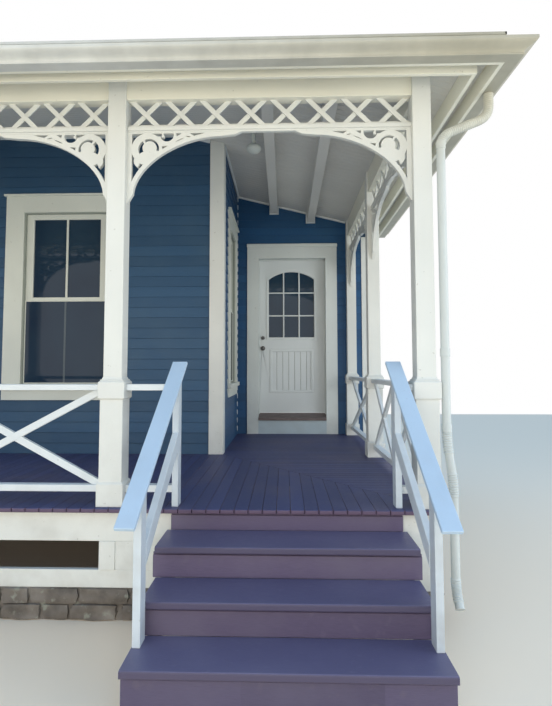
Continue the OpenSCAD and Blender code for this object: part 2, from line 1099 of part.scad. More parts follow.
// one sawn bracket: its post at x = 0, its rail at z = 0
module bracket_outline()
{
    difference()
    {
        spandrel();
        intersection()
        {
            sawn_field();
            union()
            {
                scroll_gaps();
                eye_gap();
                leaf_gaps();
            }
        }
    }
}

// the pair of brackets under one bay's rail
module bracket_pair(length)
{
    translate([0, 0, bracket_top])
    {
        plate(bracket_t)
            bracket_outline();
        translate([length, 0, 0])
            mirror([1, 0, 0])
                plate(bracket_t)
                    bracket_outline();
    }
}

module arch_brackets_front()
{
    color(paint_white)
        centred()
        for (bay = [entry_bay, window_bay])
            in_bay(bay)
                bracket_pair(bay[2]);
}

module arch_brackets_sides()
{
    color(paint_white)
        centred()
        for (bay = side_bays)
            in_bay(bay)
                bracket_pair(bay[2]);
}

// how far collar and plinth reach into a bay
collar_in = (collar_w - post_w) / 2;
plinth_in = (plinth_w - post_w) / 2;
panel_in = max(collar_in, plinth_in);

// top and bottom rail between two collars and two plinths
module rail_pair(x0, x1, top_in0, top_in1, low_in0, low_in1)
{
    translate([x0 + top_in0, -rail_w / 2, brace_high])
        cube([x1 - x0 - top_in0 - top_in1, rail_w, rail_t]);
    translate([x0 + low_in0, -low_rail_w / 2, low_rail_low])
        cube([x1 - x0 - low_in0 - low_in1, low_rail_w, low_rail_h]);
}

module balustrade_rails()
{
    left_newel = stair_x - newel_off - newel_w / 2;
    right_newel = stair_x + newel_off + newel_w / 2;
    color(paint_white)
        centred()
    {
        for (bay = railed_bays)
            in_bay(bay)
                rail_pair(0, bay[2], collar_in, collar_in, plinth_in, plinth_in);
        translate([0, rail_line_y, 0])
        {
            rail_pair(-side_x0, left_newel, collar_in, 0, plinth_in, 0);
            rail_pair(right_newel, side_x0, 0, collar_in, 0, plinth_in);
        }
    }
}

// length of each crossed panel in a bay
function panel_length(bay) =
    (bay[2] - 2 * panel_in - (bay[4] - 1) * mid_stile_w) / bay[4];

module balustrade_stiles()
{
    color(paint_white)
        centred()
        for (bay = railed_bays)
            if (bay[4] > 1)
                for (i = [1:bay[4] - 1])
                    in_bay(bay)
                        translate([panel_in + i * panel_length(bay) + (i - 1) * mid_stile_w,
                            -mid_stile_w / 2, brace_low])
                            cube([mid_stile_w, mid_stile_w, brace_high - brace_low]);
}

// a diagonal bar across a panel, clipped to it
module diagonal(length, side, w)
{
    h = brace_high - brace_low;
    intersection()
    {
        square([length, h]);
        translate([length / 2, h / 2])
            rotate(side * atan2(h, length))
                square([2 * length, w], center = true);
    }
}

module in_panels(bay)
{
    for (i = [0:bay[4] - 1])
        in_bay(bay)
            translate([panel_in + i * (panel_length(bay) + mid_stile_w), 0, brace_low])
                children();
}

module cross_braces()
{
    color(paint_white)
        centred()
        for (bay = railed_bays)
            in_panels(bay)
                plate(brace_t)
                    diagonal(panel_length(bay), 1, brace_w);
}

module cross_brace_halves()
{
    color(paint_white)
        centred()
        for (bay = railed_bays)
            in_panels(bay)
                plate(brace_t)
                    difference()
                    {
                        diagonal(panel_length(bay), -1, brace_w);
                        diagonal(panel_length(bay), 1, brace_w + 2 * seat);
                    }
}

module ceiling()
{
    color(grey_boards)
        centred()
        sloped_layer(0, ceiling_t);
}

module ceiling_beams()
{
    color(grey_boards)
        centred()
        intersection()
        {
            for (beam = [[ceiling_beam_x1, ceiling_beam_z1], [ceiling_beam_x2, ceiling_beam_z2]])
                translate([beam[0] - ceiling_beam_w / 2, post_y1, deck_top + beam[1]])
                    cube([ceiling_beam_w, back_wall_y - post_y1, far]);
            below_planes(-seat);
        }
}

module roof()
{
    color(shingle)
        centred()
        sloped_layer(ceiling_t, ceiling_t + roof_t);
}

module fascia()
{
    top = ceiling_low - roof_slope * eave_in + ceiling_t + roof_t;
    color(paint_white)
        centred()
        along_eaves(eave_out)
            translate([eave_in, fascia_low])
                square([fascia_t, top - fascia_low]);
}

module eave_trim()
{
    color(paint_white)
        centred()
        intersection()
        {
            along_eaves(trim_out)
                translate([trim_out - trim_t, trim_low])
                    square([trim_t, far - trim_low]);
            below_planes(-seat);
        }
}

// the gutter's front from its bottom corner: a foot, an S-curve and a lip
function front_curve(u) = gutter_w + gutter_lean * (1 - cos(180 * u)) / 2;

module gutter_outline(in)
{
    steps = 10;
    foot = gutter_h * 0.2;
    rise = gutter_h * 0.6;
    polygon(concat(
        [[in, in], [gutter_w - in, in]],
        [for (i = [0:steps]) [front_curve(i / steps) - in, foot + rise * i / steps]],
        [[gutter_w + gutter_lean - in, gutter_h + (in > 0 ? cut : 0)],
            [in, gutter_h + (in > 0 ? cut : 0)]]
    ));
}

module gutter()
{
    color(metal_white)
        centred()
        along_eaves(gutter_out)
            translate([eave_out, fascia_low])
                difference()
                {
                    gutter_outline(0);
                    gutter_outline(gutter_t);
                }
}

// straight round pipe between two points, with a round elbow at the second
module pipe(a, b, r)
{
    d = b - a;
    translate(a)
        rotate([0, acos(d[2] / norm(d)), atan2(d[1], d[0])])
            cylinder(h = norm(d), r = r, $fn = round_n);
    translate(b)
        sphere(r + elbow_swell, $fn = round_n);
}

module downspout()
{
    outlet = [side_x1 + eave_out + gutter_w / 2, post_y0 + outlet_y, fascia_low];
    pipe_x = side_x1 + collar_in + spout_gap + spout_r;
    clear_x = deck_x1 + spout_gap + spout_r;
    elbow = [outlet[0], outlet[1], fascia_low - outlet_drop];
    knee = [pipe_x, outlet[1], elbow[2] - slant_drop];
    bend = [pipe_x, outlet[1], deck_top + bend_above];
    clear = [clear_x, outlet[1], bend[2] - bend_drop];
    heel = [clear_x, outlet[1], spout_foot + heel_up];
    toe = [clear_x, outlet[1] - toe_out, spout_foot];
    color(metal_white)
        centred()
        {
            pipe(outlet, elbow, spout_r);
            pipe(elbow, knee, spout_r);
            pipe(knee, bend, spout_r);
            pipe(bend, clear, spout_r);
            pipe(clear, heel, spout_r);
            pipe(heel, toe, spout_r);
        }
}

// a flattened globe on a short stem
module porch_lamp()
{
    top = ceiling_at(lamp_x + stem_r, lamp_y) - seat;
    color(paint_white)
        centred()
        translate([lamp_x, lamp_y, top - lamp_drop])
        {
            cylinder(h = lamp_drop, r = stem_r, $fn = round_n);
            translate([0, 0, -0.42 * globe_h])
                scale([1, 1, globe_h / (2 * globe_r)])
                    sphere(globe_r, $fn = 48);
        }
}

// two uprights of a wall beside an opening, drawn along +X with its face at y = 0
module wall_piers(length, x0, x1)
{
    cube([x0, wall_t, wall_top]);
    translate([x1, 0, 0])
        cube([length - x1, wall_t, wall_top]);
}

// the wall over and under an opening
module wall_over_under(x0, x1, z0, z1)
{
    translate([x0, 0, 0])
        cube([x1 - x0, wall_t, z0]);
    translate([x0, 0, z1])
        cube([x1 - x0, wall_t, wall_top - z1]);
}

// a window's opening in its wall: inside of its casing boards
function hole_x0(w) = w[0] + casing_w;
function hole_x1(w) = w[0] + w[1] - casing_w;
function hole_z0(w) = w[2] + casing_w - sill_t;
function hole_z1(w) = w[3] - casing_w;

module front_wall_piers()
{
    color(navy)
        centred()
        translate([end_x0, front_wall_y, 0])
            wall_piers(side_wall_x - end_x0, hole_x0(front_window) - end_x0,
                hole_x1(front_window) - end_x0);
}

module front_wall_over_under()
{
    color(navy)
        centred()
        translate([end_x0, front_wall_y, 0])
            wall_over_under(hole_x0(front_window) - end_x0, hole_x1(front_window) - end_x0,
                hole_z0(front_window), hole_z1(front_window));
}

side_wall_y0 = front_wall_y + wall_t;

module on_side_wall(y0)
{
    translate([side_wall_x, y0, 0])
        rotate([0, 0, 90])
            children();
}

module side_wall_piers()
{
    color(navy)
        centred()
        on_side_wall(side_wall_y0)
            wall_piers(back_wall_y - side_wall_y0, hole_x0(side_window) - side_wall_y0,
                hole_x1(side_window) - side_wall_y0);
}

module side_wall_over_under()
{
    color(navy)
        centred()
        on_side_wall(side_wall_y0)
            wall_over_under(hole_x0(side_window) - side_wall_y0,
                hole_x1(side_window) - side_wall_y0,
                hole_z0(side_window), hole_z1(side_window));
}

back_wall_x0 = side_wall_x - wall_t;
door_hole_x0 = opening_x0 - door_jamb;
door_hole_x1 = opening_x1 + door_jamb;
door_hole_top = opening_high + door_jamb;

module back_wall_piers()
{
    color(navy)
        centred()
        translate([back_wall_x0, back_wall_y, 0])
            wall_piers(wall_x1 - back_wall_x0, door_hole_x0 - back_wall_x0,
                door_hole_x1 - back_wall_x0);
}

module back_wall_over_under()
{
    color(navy)
        centred()
        translate([back_wall_x0, back_wall_y, 0])
            wall_over_under(door_hole_x0 - back_wall_x0, door_hole_x1 - back_wall_x0,
                sill_high, door_hole_top);
}

board_w = 124;
board_t = 22;

module corner_boards()
{
    front_x0 = side_wall_x - board_w;
    front_x1 = side_wall_x + board_t;
    color(paint_white)
        centred()
    {
        translate([front_x0, front_wall_y - board_t, deck_top])
            cube([front_x1 - front_x0, board_t,
                ceiling_at(front_x1, front_wall_y - board_t) - seat - deck_top]);
        translate([side_wall_x, front_wall_y, deck_top])
            cube([board_t, board_w, ceiling_at(front_x1, front_wall_y) - seat - deck_top]);
        translate([wall_x1 - board_w, back_wall_y - board_t, 0])
            cube([board_w, board_t, trim_low - seat]);
    }
}

// casing boards, jamb, sill and drip cap of a window, along +X, wall face at y = 0
module window_casing(w)
{
    x0 = hole_x0(w);
    x1 = hole_x1(w);
    z0 = hole_z0(w);
    z1 = hole_z1(w);
    difference()
    {
        union()
        {
            translate([w[0], -casing_t, w[2]])
                cube([w[1], casing_t, w[3] - w[2]]);
            translate([w[0] - 20, -casing_t - 22, w[3] - 22])
                cube([w[1] + 40, casing_t + 22, 22]);
            translate([x0, -cut, z0])
                cube([x1 - x0, wall_t + cut, z1 - z0]);
            translate([w[0] - 15, -sill_out, z0])
                cube([w[1] + 30, sill_out, sill_t]);
        }
        translate([x0 + jamb_w, -casing_t - cut, z0 + sill_t])
            cube([x1 - x0 - 2 * jamb_w, wall_t + casing_t + 2 * cut, z1 - z0 - sill_t - jamb_w]);
    }
}

module window_casings()
{
    color(paint_white)
        centred()
    {
        translate([0, front_wall_y, 0])
            window_casing(front_window);
        on_side_wall(0)
            window_casing(side_window);
    }
}

// one sash as a frame with its pane opening, or the pane itself
module sash(x0, x1, z0, z1, stile, low, high, y)
{
    translate([0, y, 0])
        difference()
        {
            translate([x0, 0, z0])
                cube([x1 - x0, sash_t, z1 - z0]);
            translate([x0 + stile, -cut, z0 + low])
                cube([x1 - x0 - 2 * stile, sash_t + 2 * cut, z1 - z0 - low - high]);
        }
}

sash_y = 20;
sash_play = 1;

module window_sash_pair(w)
{
    x0 = hole_x0(w) + jamb_w;
    x1 = hole_x1(w) - jamb_w;
    sash(x0, x1, meet_z - meeting_rail / 2, hole_z1(w) - jamb_w, w[4], meeting_rail, sash_top, sash_y);
    sash(x0, x1, hole_z0(w) + sill_t, meet_z + meeting_rail / 2, w[4], sash_bottom, meeting_rail,
        sash_y + sash_t + sash_play);
}

module window_sashes()
{
    color(paint_white)
        centred()
    {
        translate([0, front_wall_y, 0])
            window_sash_pair(front_window);
        on_side_wall(0)
            window_sash_pair(side_window);
    }
}

module window_panes(w)
{
    x0 = hole_x0(w) + jamb_w + w[4];
    x1 = hole_x1(w) - jamb_w - w[4];
    low = meet_z + meeting_rail / 2;
    foot = hole_z0(w) + sill_t + sash_bottom;
    translate([x0, sash_y + sash_t / 2, low])
        cube([x1 - x0, pane_t, hole_z1(w) - jamb_w - sash_top - low]);
    translate([x0, sash_y + sash_play + sash_t * 1.5, foot])
        cube([x1 - x0, pane_t, meet_z - meeting_rail / 2 - foot]);
}

module window_glass()
{
    color(pane)
        centred()
    {
        translate([0, front_wall_y, 0])
            window_panes(front_window);
        on_side_wall(0)
            window_panes(side_window);
    }
}

module door_casing()
{
    head = opening_high + casing_w + 40;
    color(paint_white)
        centred()
        translate([0, back_wall_y, 0])
            difference()
            {
                union()
                {
                    translate([opening_x0 - casing_w, -casing_t, deck_top])
                        cube([opening_x1 - opening_x0 + 2 * casing_w, casing_t, head - deck_top]);
                    translate([door_hole_x0, -cut, sill_high])
                        cube([door_hole_x1 - door_hole_x0, wall_t + cut, door_hole_top - sill_high]);
                }
                translate([opening_x0, -casing_t - cut, deck_top - cut])
                    cube([opening_x1 - opening_x0, wall_t + casing_t + 2 * cut,
                        opening_high - deck_top + cut]);
            }
}

module door_sill()
{
    color(paint_white)
        centred()
        translate([opening_x0, back_wall_y - casing_t, deck_top])
            cube([opening_x1 - opening_x0, casing_t, door_sill_h]);
}

module threshold()
{
    front = back_wall_y - casing_t - 25;
    high = door_low - door_gap;
    color(bare_wood)
        centred()
        translate([opening_x0, 0, 0])
            rotate([90, 0, 90])
                linear_extrude(opening_x1 - opening_x0)
                    polygon([
                        [front, sill_high],
                        [back_wall_y + wall_t, sill_high],
                        [back_wall_y + wall_t, high],
                        [leaf_y, high],
                        [front, sill_high + 30]
                    ]);
}

// the outline of the door's glass, its foot's middle at the origin
module arched_glass(grow)
{
    half = door_glass_w / 2 + grow;
    r = (pow(door_glass_w / 2, 2) + pow(door_glass_rise, 2)) / (2 * door_glass_rise);
    intersection()
    {
        translate([-half, -grow])
            square([2 * half, door_glass_h + door_glass_rise + 2 * grow]);
        translate([0, door_glass_h + door_glass_rise - r])
            circle(r + grow, $fn = 160);
    }
}

door_mid_x = door_x + door_w / 2 - 7;

module door_leaf()
{
    color(paint_white)
        centred()
        difference()
        {
            translate([door_x, leaf_y, door_low])
                cube([door_w, door_t, door_h]);
            translate([door_mid_x, leaf_y + door_t / 2, door_low + door_glass_z])
                plate(door_t + 2 * cut)
                    arched_glass(0);
            for (y = [leaf_y - cut, leaf_y + door_t - panel_deep])
                translate([door_mid_x - panel_w / 2, y, door_low + panel_z])
                    cube([panel_w, panel_deep + cut, panel_h]);
            translate([knob_x, leaf_y - cut, door_low + knob_z])
                rotate([-90, 0, 0])
                    cylinder(h = door_t + 2 * cut, r = shank_r + shank_gap, $fn = round_n);
        }
}

module door_glass()
{
    color(pane)
        centred()
        translate([door_mid_x, leaf_y + door_t / 2, door_low + door_glass_z])
            plate(pane_t)
                arched_glass(-seat);
}

// a ring or disc on the leaf, its axis along Y
module disc(x, y, z, r, t, bore)
{
    translate([x, y, z])
        rotate([-90, 0, 0])
            difference()
            {
                cylinder(h = t, r = r, $fn = round_n);
                if (bore > 0)
                    translate([0, 0, -cut])
                        cylinder(h = t + 2 * cut, r = bore, $fn = round_n);
            }
}

hinge_feet = [180, door_h / 2 - hinge_h / 2, door_h - 180 - hinge_h];
rose_t = 6;
plate_t = 2.5;
hinge_leaf_w = 36;

module door_fittings()
{
    z = door_low + knob_z;
    color(brass)
        centred()
    {
        disc(knob_x, leaf_y - rose_t, z, 31, rose_t, shank_r + rose_gap);
        disc(knob_x, leaf_y + door_t, z, 31, rose_t, shank_r + rose_gap);
        disc(knob_x, leaf_y - 14, z + deadbolt_up, 24, 14, 0);
        disc(knob_x, leaf_y + door_t, z + deadbolt_up, 24, 14, 0);
        for (foot = hinge_feet)
            translate([door_x + door_w - hinge_leaf_w, leaf_y + door_t, door_low + foot])
                cube([hinge_leaf_w, plate_t, hinge_h]);
    }
}

// the knob on both faces, on one shank
module door_knob()
{
    color(brass)
        centred()
        translate([knob_x, leaf_y + door_t / 2, door_low + knob_z])
            rotate([-90, 0, 0])
            {
                cylinder(h = door_t + 2 * knob_reach, r = shank_r, center = true, $fn = round_n);
                for (side = [-1, 1])
                    translate([0, 0, side * (door_t / 2 + knob_reach)])
                        scale([1, 1, 0.72])
                            sphere(knob_r, $fn = round_n);
            }
}

module door_hinges()
{
    color(brass)
        centred()
        for (foot = hinge_feet)
        {
            translate([hinge_x, hinge_y, door_low + foot])
                cylinder(h = hinge_h, r = barrel_r, $fn = 24);
            translate([hinge_x + 2, back_wall_y + wall_t, door_low + foot])
                cube([hinge_leaf_w, plate_t, hinge_h]);
        }
}

stone_footing();
skirt_boards();
skirt_stiles();
deck();
stair_stringers();
stair_risers();
stair_treads();
stair_newels();
stair_handrails();
front_posts();
side_posts();
frieze_beams();
lattice_front();
lattice_sides();
arch_brackets_front();
arch_brackets_sides();
balustrade_rails();
balustrade_stiles();
cross_braces();
cross_brace_halves();
ceiling();
ceiling_beams();
roof();
fascia();
eave_trim();
gutter();
downspout();
porch_lamp();
front_wall_piers();
front_wall_over_under();
side_wall_piers();
side_wall_over_under();
back_wall_piers();
back_wall_over_under();
corner_boards();
window_casings();
window_sashes();
window_glass();
door_casing();
door_sill();
threshold();
door_leaf();
door_glass();
door_fittings();
door_knob();
door_hinges();
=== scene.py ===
# %% [markdown]
# # A wraparound front porch
# The house has a porch that turns its corner: a painted deck with steps, square
# posts, a lattice frieze with sawn scroll brackets, and a hipped roof with a gutter.
# The exact solids come from the CAD model and stay where they are. This lesson
# gives them their finishes, and adds what is too fine or too rough for the solids:
# boards, shingles, stones, mouldings and ironmongery.

# %% Load the porch's solids
import math
import random

import bpy
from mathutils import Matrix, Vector


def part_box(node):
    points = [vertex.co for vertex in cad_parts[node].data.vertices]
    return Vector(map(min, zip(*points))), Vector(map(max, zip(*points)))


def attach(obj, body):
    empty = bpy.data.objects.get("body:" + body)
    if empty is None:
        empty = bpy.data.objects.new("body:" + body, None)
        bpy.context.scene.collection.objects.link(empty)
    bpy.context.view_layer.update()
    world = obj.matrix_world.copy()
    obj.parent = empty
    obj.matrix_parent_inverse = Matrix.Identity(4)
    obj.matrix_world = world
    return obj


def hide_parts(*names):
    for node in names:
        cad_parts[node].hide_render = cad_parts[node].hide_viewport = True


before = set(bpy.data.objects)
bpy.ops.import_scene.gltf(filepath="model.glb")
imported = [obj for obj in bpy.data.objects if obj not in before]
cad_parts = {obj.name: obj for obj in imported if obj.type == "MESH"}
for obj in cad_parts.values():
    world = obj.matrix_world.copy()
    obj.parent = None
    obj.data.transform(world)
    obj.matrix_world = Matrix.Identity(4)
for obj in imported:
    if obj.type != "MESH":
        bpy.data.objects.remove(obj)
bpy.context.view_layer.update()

# %% [markdown]
# ## Where things are
# Every piece is set against a solid, so the main lines are read from the solids'
# boxes once: the deck's edges, the post faces, the three walls and the heights.
# The middle of the steps, entry_x, and the deck's front edge are where the rest is
# measured from. All is in metres, with X to the right, Y into the house and Z up.

# %% Main lines of the porch
deck_lo, deck_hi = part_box("deck")
posts_lo, posts_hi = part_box("front_posts")
front_wall_lo, front_wall_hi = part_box("front_wall_piers")
back_wall_lo, back_wall_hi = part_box("back_wall_piers")
roof_lo, roof_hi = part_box("roof")
fascia_lo, fascia_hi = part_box("fascia")
door_casing_lo, door_casing_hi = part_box("door_casing")
treads_lo, treads_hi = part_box("stair_treads")
risers_lo, risers_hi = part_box("stair_risers")

POST, PLINTH = 0.117, 0.166
PLINTH_OVER = (PLINTH - POST) / 2
ENTRY, ENTRY_TO_RIGHT = 1.835, 1.0945
STAIR_WIDTH = 1.446
HAIR = 0.0005  # keeps two faces from lying in one plane
deck_front = deck_lo.y
entry_x = deck_hi.x - ENTRY_TO_RIGHT
post_front = posts_lo.y + PLINTH_OVER
post_right = posts_hi.x - PLINTH_OVER
post_left = posts_lo.x + PLINTH_OVER
front_wall_y = front_wall_lo.y
back_wall_y = back_wall_lo.y
side_wall_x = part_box("side_wall_piers")[1].x
deck_top = deck_hi.z
wall_top = front_wall_hi.z
print("deck top", round(deck_top, 3), "front wall at", round(front_wall_y, 3))

# %% [markdown]
# ## Handling
# A few short helpers keep each step readable. Blender's operators act on all that
# is selected, so everything is deselected before a primitive is added, and `only`
# selects just the pieces to work on. A block is a cube primitive added at its size
# and place, and its place is then moved into its mesh. `opened` goes into edit mode
# with everything selected, and `closed` leaves it again.

# %% Selecting and placing
def deselect():
    bpy.ops.object.select_all(action="DESELECT")


def only(*pieces):
    deselect()
    for piece in pieces:
        piece.select_set(True)
    bpy.context.view_layer.objects.active = pieces[0]


def settle(piece, name):
    piece.name = name
    piece.data.name = name
    only(piece)
    bpy.ops.object.transform_apply(location=True, rotation=True, scale=True)
    return piece


def block(name, lo, hi):
    middle = [(a + b) / 2 for a, b in zip(lo, hi)]
    size = [b - a for a, b in zip(lo, hi)]
    deselect()
    bpy.ops.mesh.primitive_cube_add(size=1, location=middle, scale=size)
    return settle(bpy.context.object, name)


def rod(name, a, b, radius, sides=16):
    a, b = Vector(a), Vector(b)
    turn = (b - a).to_track_quat("Z", "Y").to_euler()
    deselect()
    bpy.ops.mesh.primitive_cylinder_add(
        vertices=sides, radius=radius, depth=(b - a).length, location=(a + b) / 2, rotation=turn)
    return settle(bpy.context.object, name)


# %% Working on parts of a piece
def opened(piece):
    only(piece)
    bpy.ops.object.mode_set(mode="EDIT")
    bpy.ops.mesh.select_all(action="SELECT")


def closed():
    bpy.ops.object.mode_set(mode="OBJECT")


def pick(piece, kind, parts, test):
    """Opens a piece with only those of its parts selected that pass the test."""
    opened(piece)
    bpy.ops.mesh.select_mode(type=kind)
    bpy.ops.mesh.select_all(action="DESELECT")
    closed()
    for part in getattr(piece.data, parts):
        part.select = test(part)
    bpy.ops.object.mode_set(mode="EDIT")


def pick_faces(piece, test):
    pick(piece, "FACE", "polygons", lambda face: test(face.center, face.normal))


def pick_points(piece, test):
    pick(piece, "VERT", "vertices", lambda point: test(point.co))


def move_points(piece, test, step):
    pick_points(piece, test)
    bpy.ops.transform.translate(value=step)
    closed()


def trim(piece, point, normal, filled=True):
    """Cuts off what lies beyond a plane."""
    opened(piece)
    bpy.ops.mesh.bisect(plane_co=point, plane_no=normal, use_fill=filled, clear_outer=True)
    closed()


# %% Modifiers that finish a piece
def finish_with(piece, kind, **settings):
    only(piece)
    modifier = piece.modifiers.new(kind.lower(), kind)
    for key, value in settings.items():
        setattr(modifier, key, value)
    bpy.ops.object.modifier_apply(modifier=modifier.name)
    return piece


def repeat(piece, count, step):
    return finish_with(piece, "ARRAY", count=count, use_relative_offset=False,
                       use_constant_offset=True, constant_offset_displace=step)


def soften(piece, width, segments=1):
    return finish_with(piece, "BEVEL", width=width, segments=segments, limit_method="ANGLE")


def soft_block(name, lo, hi, width, segments=1):
    return soften(block(name, lo, hi), width, segments)


def smoothed(piece, degrees):
    only(piece)
    bpy.ops.object.shade_smooth_by_angle(angle=math.radians(degrees))
    return piece


# %% Copies, joins and finishes
def copy_of(piece, name, step=(0, 0, 0)):
    twin = piece.copy()
    twin.data = piece.data.copy()
    bpy.context.collection.objects.link(twin)
    twin.location = step
    return settle(twin, name)


def join(name, pieces):
    """Joins pieces into one. The first one's finish comes first."""
    only(*pieces)
    if len(pieces) > 1:
        bpy.ops.object.join()
    return settle(bpy.context.view_layer.objects.active, name)


def mirrored(piece, name, y):
    """A copy on the other side of a middle plane that faces Y."""
    twin = copy_of(piece, name)
    opened(twin)
    bpy.ops.transform.mirror(constraint_axis=(False, True, False), center_override=(0, y, 0))
    bpy.ops.mesh.normals_make_consistent(inside=False)
    closed()
    return twin


def dressed(piece, finish, body="house"):
    """Gives a piece its finish and the body it rides on."""
    if finish is not None:
        piece.data.materials.clear()
        piece.data.materials.append(finish)
    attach(piece, body)
    return piece


# %% [markdown]
# ## Camera
# The photograph was taken from in front of the steps, a little to their right, from
# eye height and looking slightly up. A camera could be placed by eye, but a porch is
# full of long straight lines, so the view was worked out from the vanishing points
# of deck, gutter and posts.

# %% The photograph's camera
LOOK_UP, ROLL, LOOK_LEFT = 0.0611, 0.0009, 0.0313
bpy.ops.object.camera_add(location=(1.314, -4.6587, 1.518),
                          rotation=(math.pi / 2 + LOOK_UP, ROLL, LOOK_LEFT))
camera = bpy.context.object
camera.name = "camera"
camera.data.sensor_width = 36
camera.data.lens = 26.27
camera.data.shift_x = 0.0108
camera.data.shift_y = -0.0217
bpy.context.scene.camera = camera
print("camera", tuple(round(v, 3) for v in camera.location))

# %% [markdown]
# ## Floor and light
# A pale floor stands in for the ground. Most light is the soft light of a bright
# day, warm from the sides and blue from above, so the deck and rail tops turn cool
# and what stands under the roof turns warm. Three large lamps in front, low down
# and at the right fill the shade. The camera sees plain white behind everything.

# %% A pale floor
deselect()
bpy.ops.mesh.primitive_plane_add(size=26, location=(0, 0, 0))
floor = settle(bpy.context.object, "floor")
floor_finish = bpy.data.materials.new("floor_finish")
floor_finish.use_nodes = True
floor_shader = floor_finish.node_tree.nodes["Principled BSDF"]
floor_shader.inputs["Base Color"].default_value = (0.94, 0.78, 0.61, 1)
floor_shader.inputs["Roughness"].default_value = 0.9
floor.data.materials.append(floor_finish)
print("floor", round(floor.dimensions.x), "metres wide")

# %% Light from all round
world = bpy.data.worlds.new("sky")
world.use_nodes = True
bpy.context.scene.world = world
sky = world.node_tree
sky.nodes.clear()
kinds = {"out": "OutputWorld", "light": "Background", "plain": "Background", "choose": "MixShader",
         "seen": "LightPath", "either": "Math", "either_too": "Math", "where": "TexCoord",
         "height": "SeparateXYZ", "tint": "ValToRGB"}
node = {key: sky.nodes.new("ShaderNode" + kind) for key, kind in kinds.items()}
for key in ("either", "either_too"):
    node[key].operation = "MAXIMUM"
HORIZON, ZENITH = (0.15, (0.93, 0.88, 0.76, 1)), (0.70, (0.30, 0.60, 1.0, 1))
for element, (position, colour) in zip(node["tint"].color_ramp.elements, (HORIZON, ZENITH)):
    element.position = position
    element.color = colour
node["light"].inputs["Strength"].default_value = 1.0
node["plain"].inputs["Color"].default_value = (1, 1, 1, 1)
node["plain"].inputs["Strength"].default_value = 1.0
for source, output, target, entry in (
        ("where", "Generated", "height", "Vector"), ("height", "Z", "tint", "Fac"),
        ("tint", "Color", "light", "Color"), ("seen", "Is Camera Ray", "either", 0),
        ("seen", "Is Glossy Ray", "either", 1), ("either", 0, "either_too", 0),
        ("seen", "Is Transmission Ray", "either_too", 1), ("either_too", 0, "choose", "Fac"),
        ("light", 0, "choose", 1), ("plain", 0, "choose", 2), ("choose", 0, "out", "Surface")):
    sky.links.new(node[source].outputs[output], node[target].inputs[entry])
print("world nodes:", len(sky.nodes))


# %% Three soft lamps
def soft_lamp(name, location, target, size, energy, colour):
    bpy.ops.object.light_add(type="AREA", location=location)
    lamp = bpy.context.object
    lamp.name = name
    lamp.data.size = size
    lamp.data.energy = energy
    lamp.data.color = colour
    lamp.visible_glossy = False
    lamp.rotation_euler = (Vector(target) - lamp.location).to_track_quat("-Z", "Y").to_euler()


soft_lamp("front_lamp", (-3.0, -9.0, 3.6), (0, 0, 2.4), 6.0, 150, (1.0, 0.98, 0.93))
soft_lamp("low_fill", (0.5, -6.5, 0.5), (-0.5, 0.5, 3.4), 4.0, 170, (1.0, 0.91, 0.72))
soft_lamp("side_fill", (7.5, -3.0, 2.4), (0, 1.2, 2.3), 4.0, 190, (0.92, 0.97, 1.0))
bpy.context.scene.view_settings.view_transform = "Standard"

# %% [markdown]
# ## Finishes
# Paint on old wood is never one flat colour: it differs a little from board to
# board, holds dust near the ground, and shows brush marks and small chips. Each
# finish is built from noise on Object coordinates, which are metres here.

# %% A short way to write shader nodes
def add(material, kind, settings=None, **links):
    node = material.node_tree.nodes.new("ShaderNode" + kind)
    for key, value in (settings or {}).items():
        if key in node.inputs:
            node.inputs[key].default_value = value
        else:
            setattr(node, key, value)
    for key, socket in links.items():
        material.node_tree.links.new(socket, node.inputs[key.replace("_", " ")])
    return node


def new_finish(name, roughness, metallic=0.0, specular=0.5):
    material = bpy.data.materials.new(name)
    material.use_nodes = True
    shader = material.node_tree.nodes["Principled BSDF"]
    shader.inputs["Roughness"].default_value = roughness
    shader.inputs["Metallic"].default_value = metallic
    shader.inputs["Specular IOR Level"].default_value = specular
    return material, shader


def wire(material, source, target):
    material.node_tree.links.new(source, target)


# %% Noise, ramps, mixes and bumps
def place(material, scale=(1, 1, 1)):
    where = add(material, "TexCoord")
    return add(material, "Mapping", {"Scale": scale}, Vector=where.outputs["Object"]).outputs[0]


def noise(material, scale, detail=4.0, stretch=(1, 1, 1)):
    return add(material, "TexNoise", {"Scale": scale, "Detail": detail},
               Vector=place(material, stretch)).outputs["Fac"]


def ramp(material, fac, stops):
    node = add(material, "ValToRGB", Fac=fac)
    while len(node.color_ramp.elements) < len(stops):
        node.color_ramp.elements.new(0.5)
    for element, (position, colour) in zip(node.color_ramp.elements, stops):
        element.position = position
        element.color = (*colour, 1) if isinstance(colour, tuple) else (colour, colour, colour, 1)
    return node.outputs["Color"]


def mix(material, fac, first, second, blend="MIX"):
    node = add(material, "MixRGB", {"blend_type": blend})
    for key, value in (("Fac", fac), ("Color1", first), ("Color2", second)):
        if isinstance(value, (int, float)):
            node.inputs[key].default_value = value if key == "Fac" else (value, value, value, 1)
        elif isinstance(value, tuple):
            node.inputs[key].default_value = (*value, 1)
        else:
            wire(material, value, node.inputs[key])
    return node.outputs["Color"]


def bump(material, shader, height, distance, strength=1.0):
    node = add(material, "Bump", {"Distance": distance, "Strength": strength}, Height=height)
    wire(material, node.outputs["Normal"], shader.inputs["Normal"])


def shade(colour, factor):
    return tuple(min(1.0, c * factor) for c in colour)


# %% [markdown]
# Trim, posts and rails are wood painted with a brush. A picture of paint would have
# to be unwrapped on every piece, so noise does it instead: a cloudy tone, streaks
# along the grain, dust that thickens towards the ground and a few dark chips.

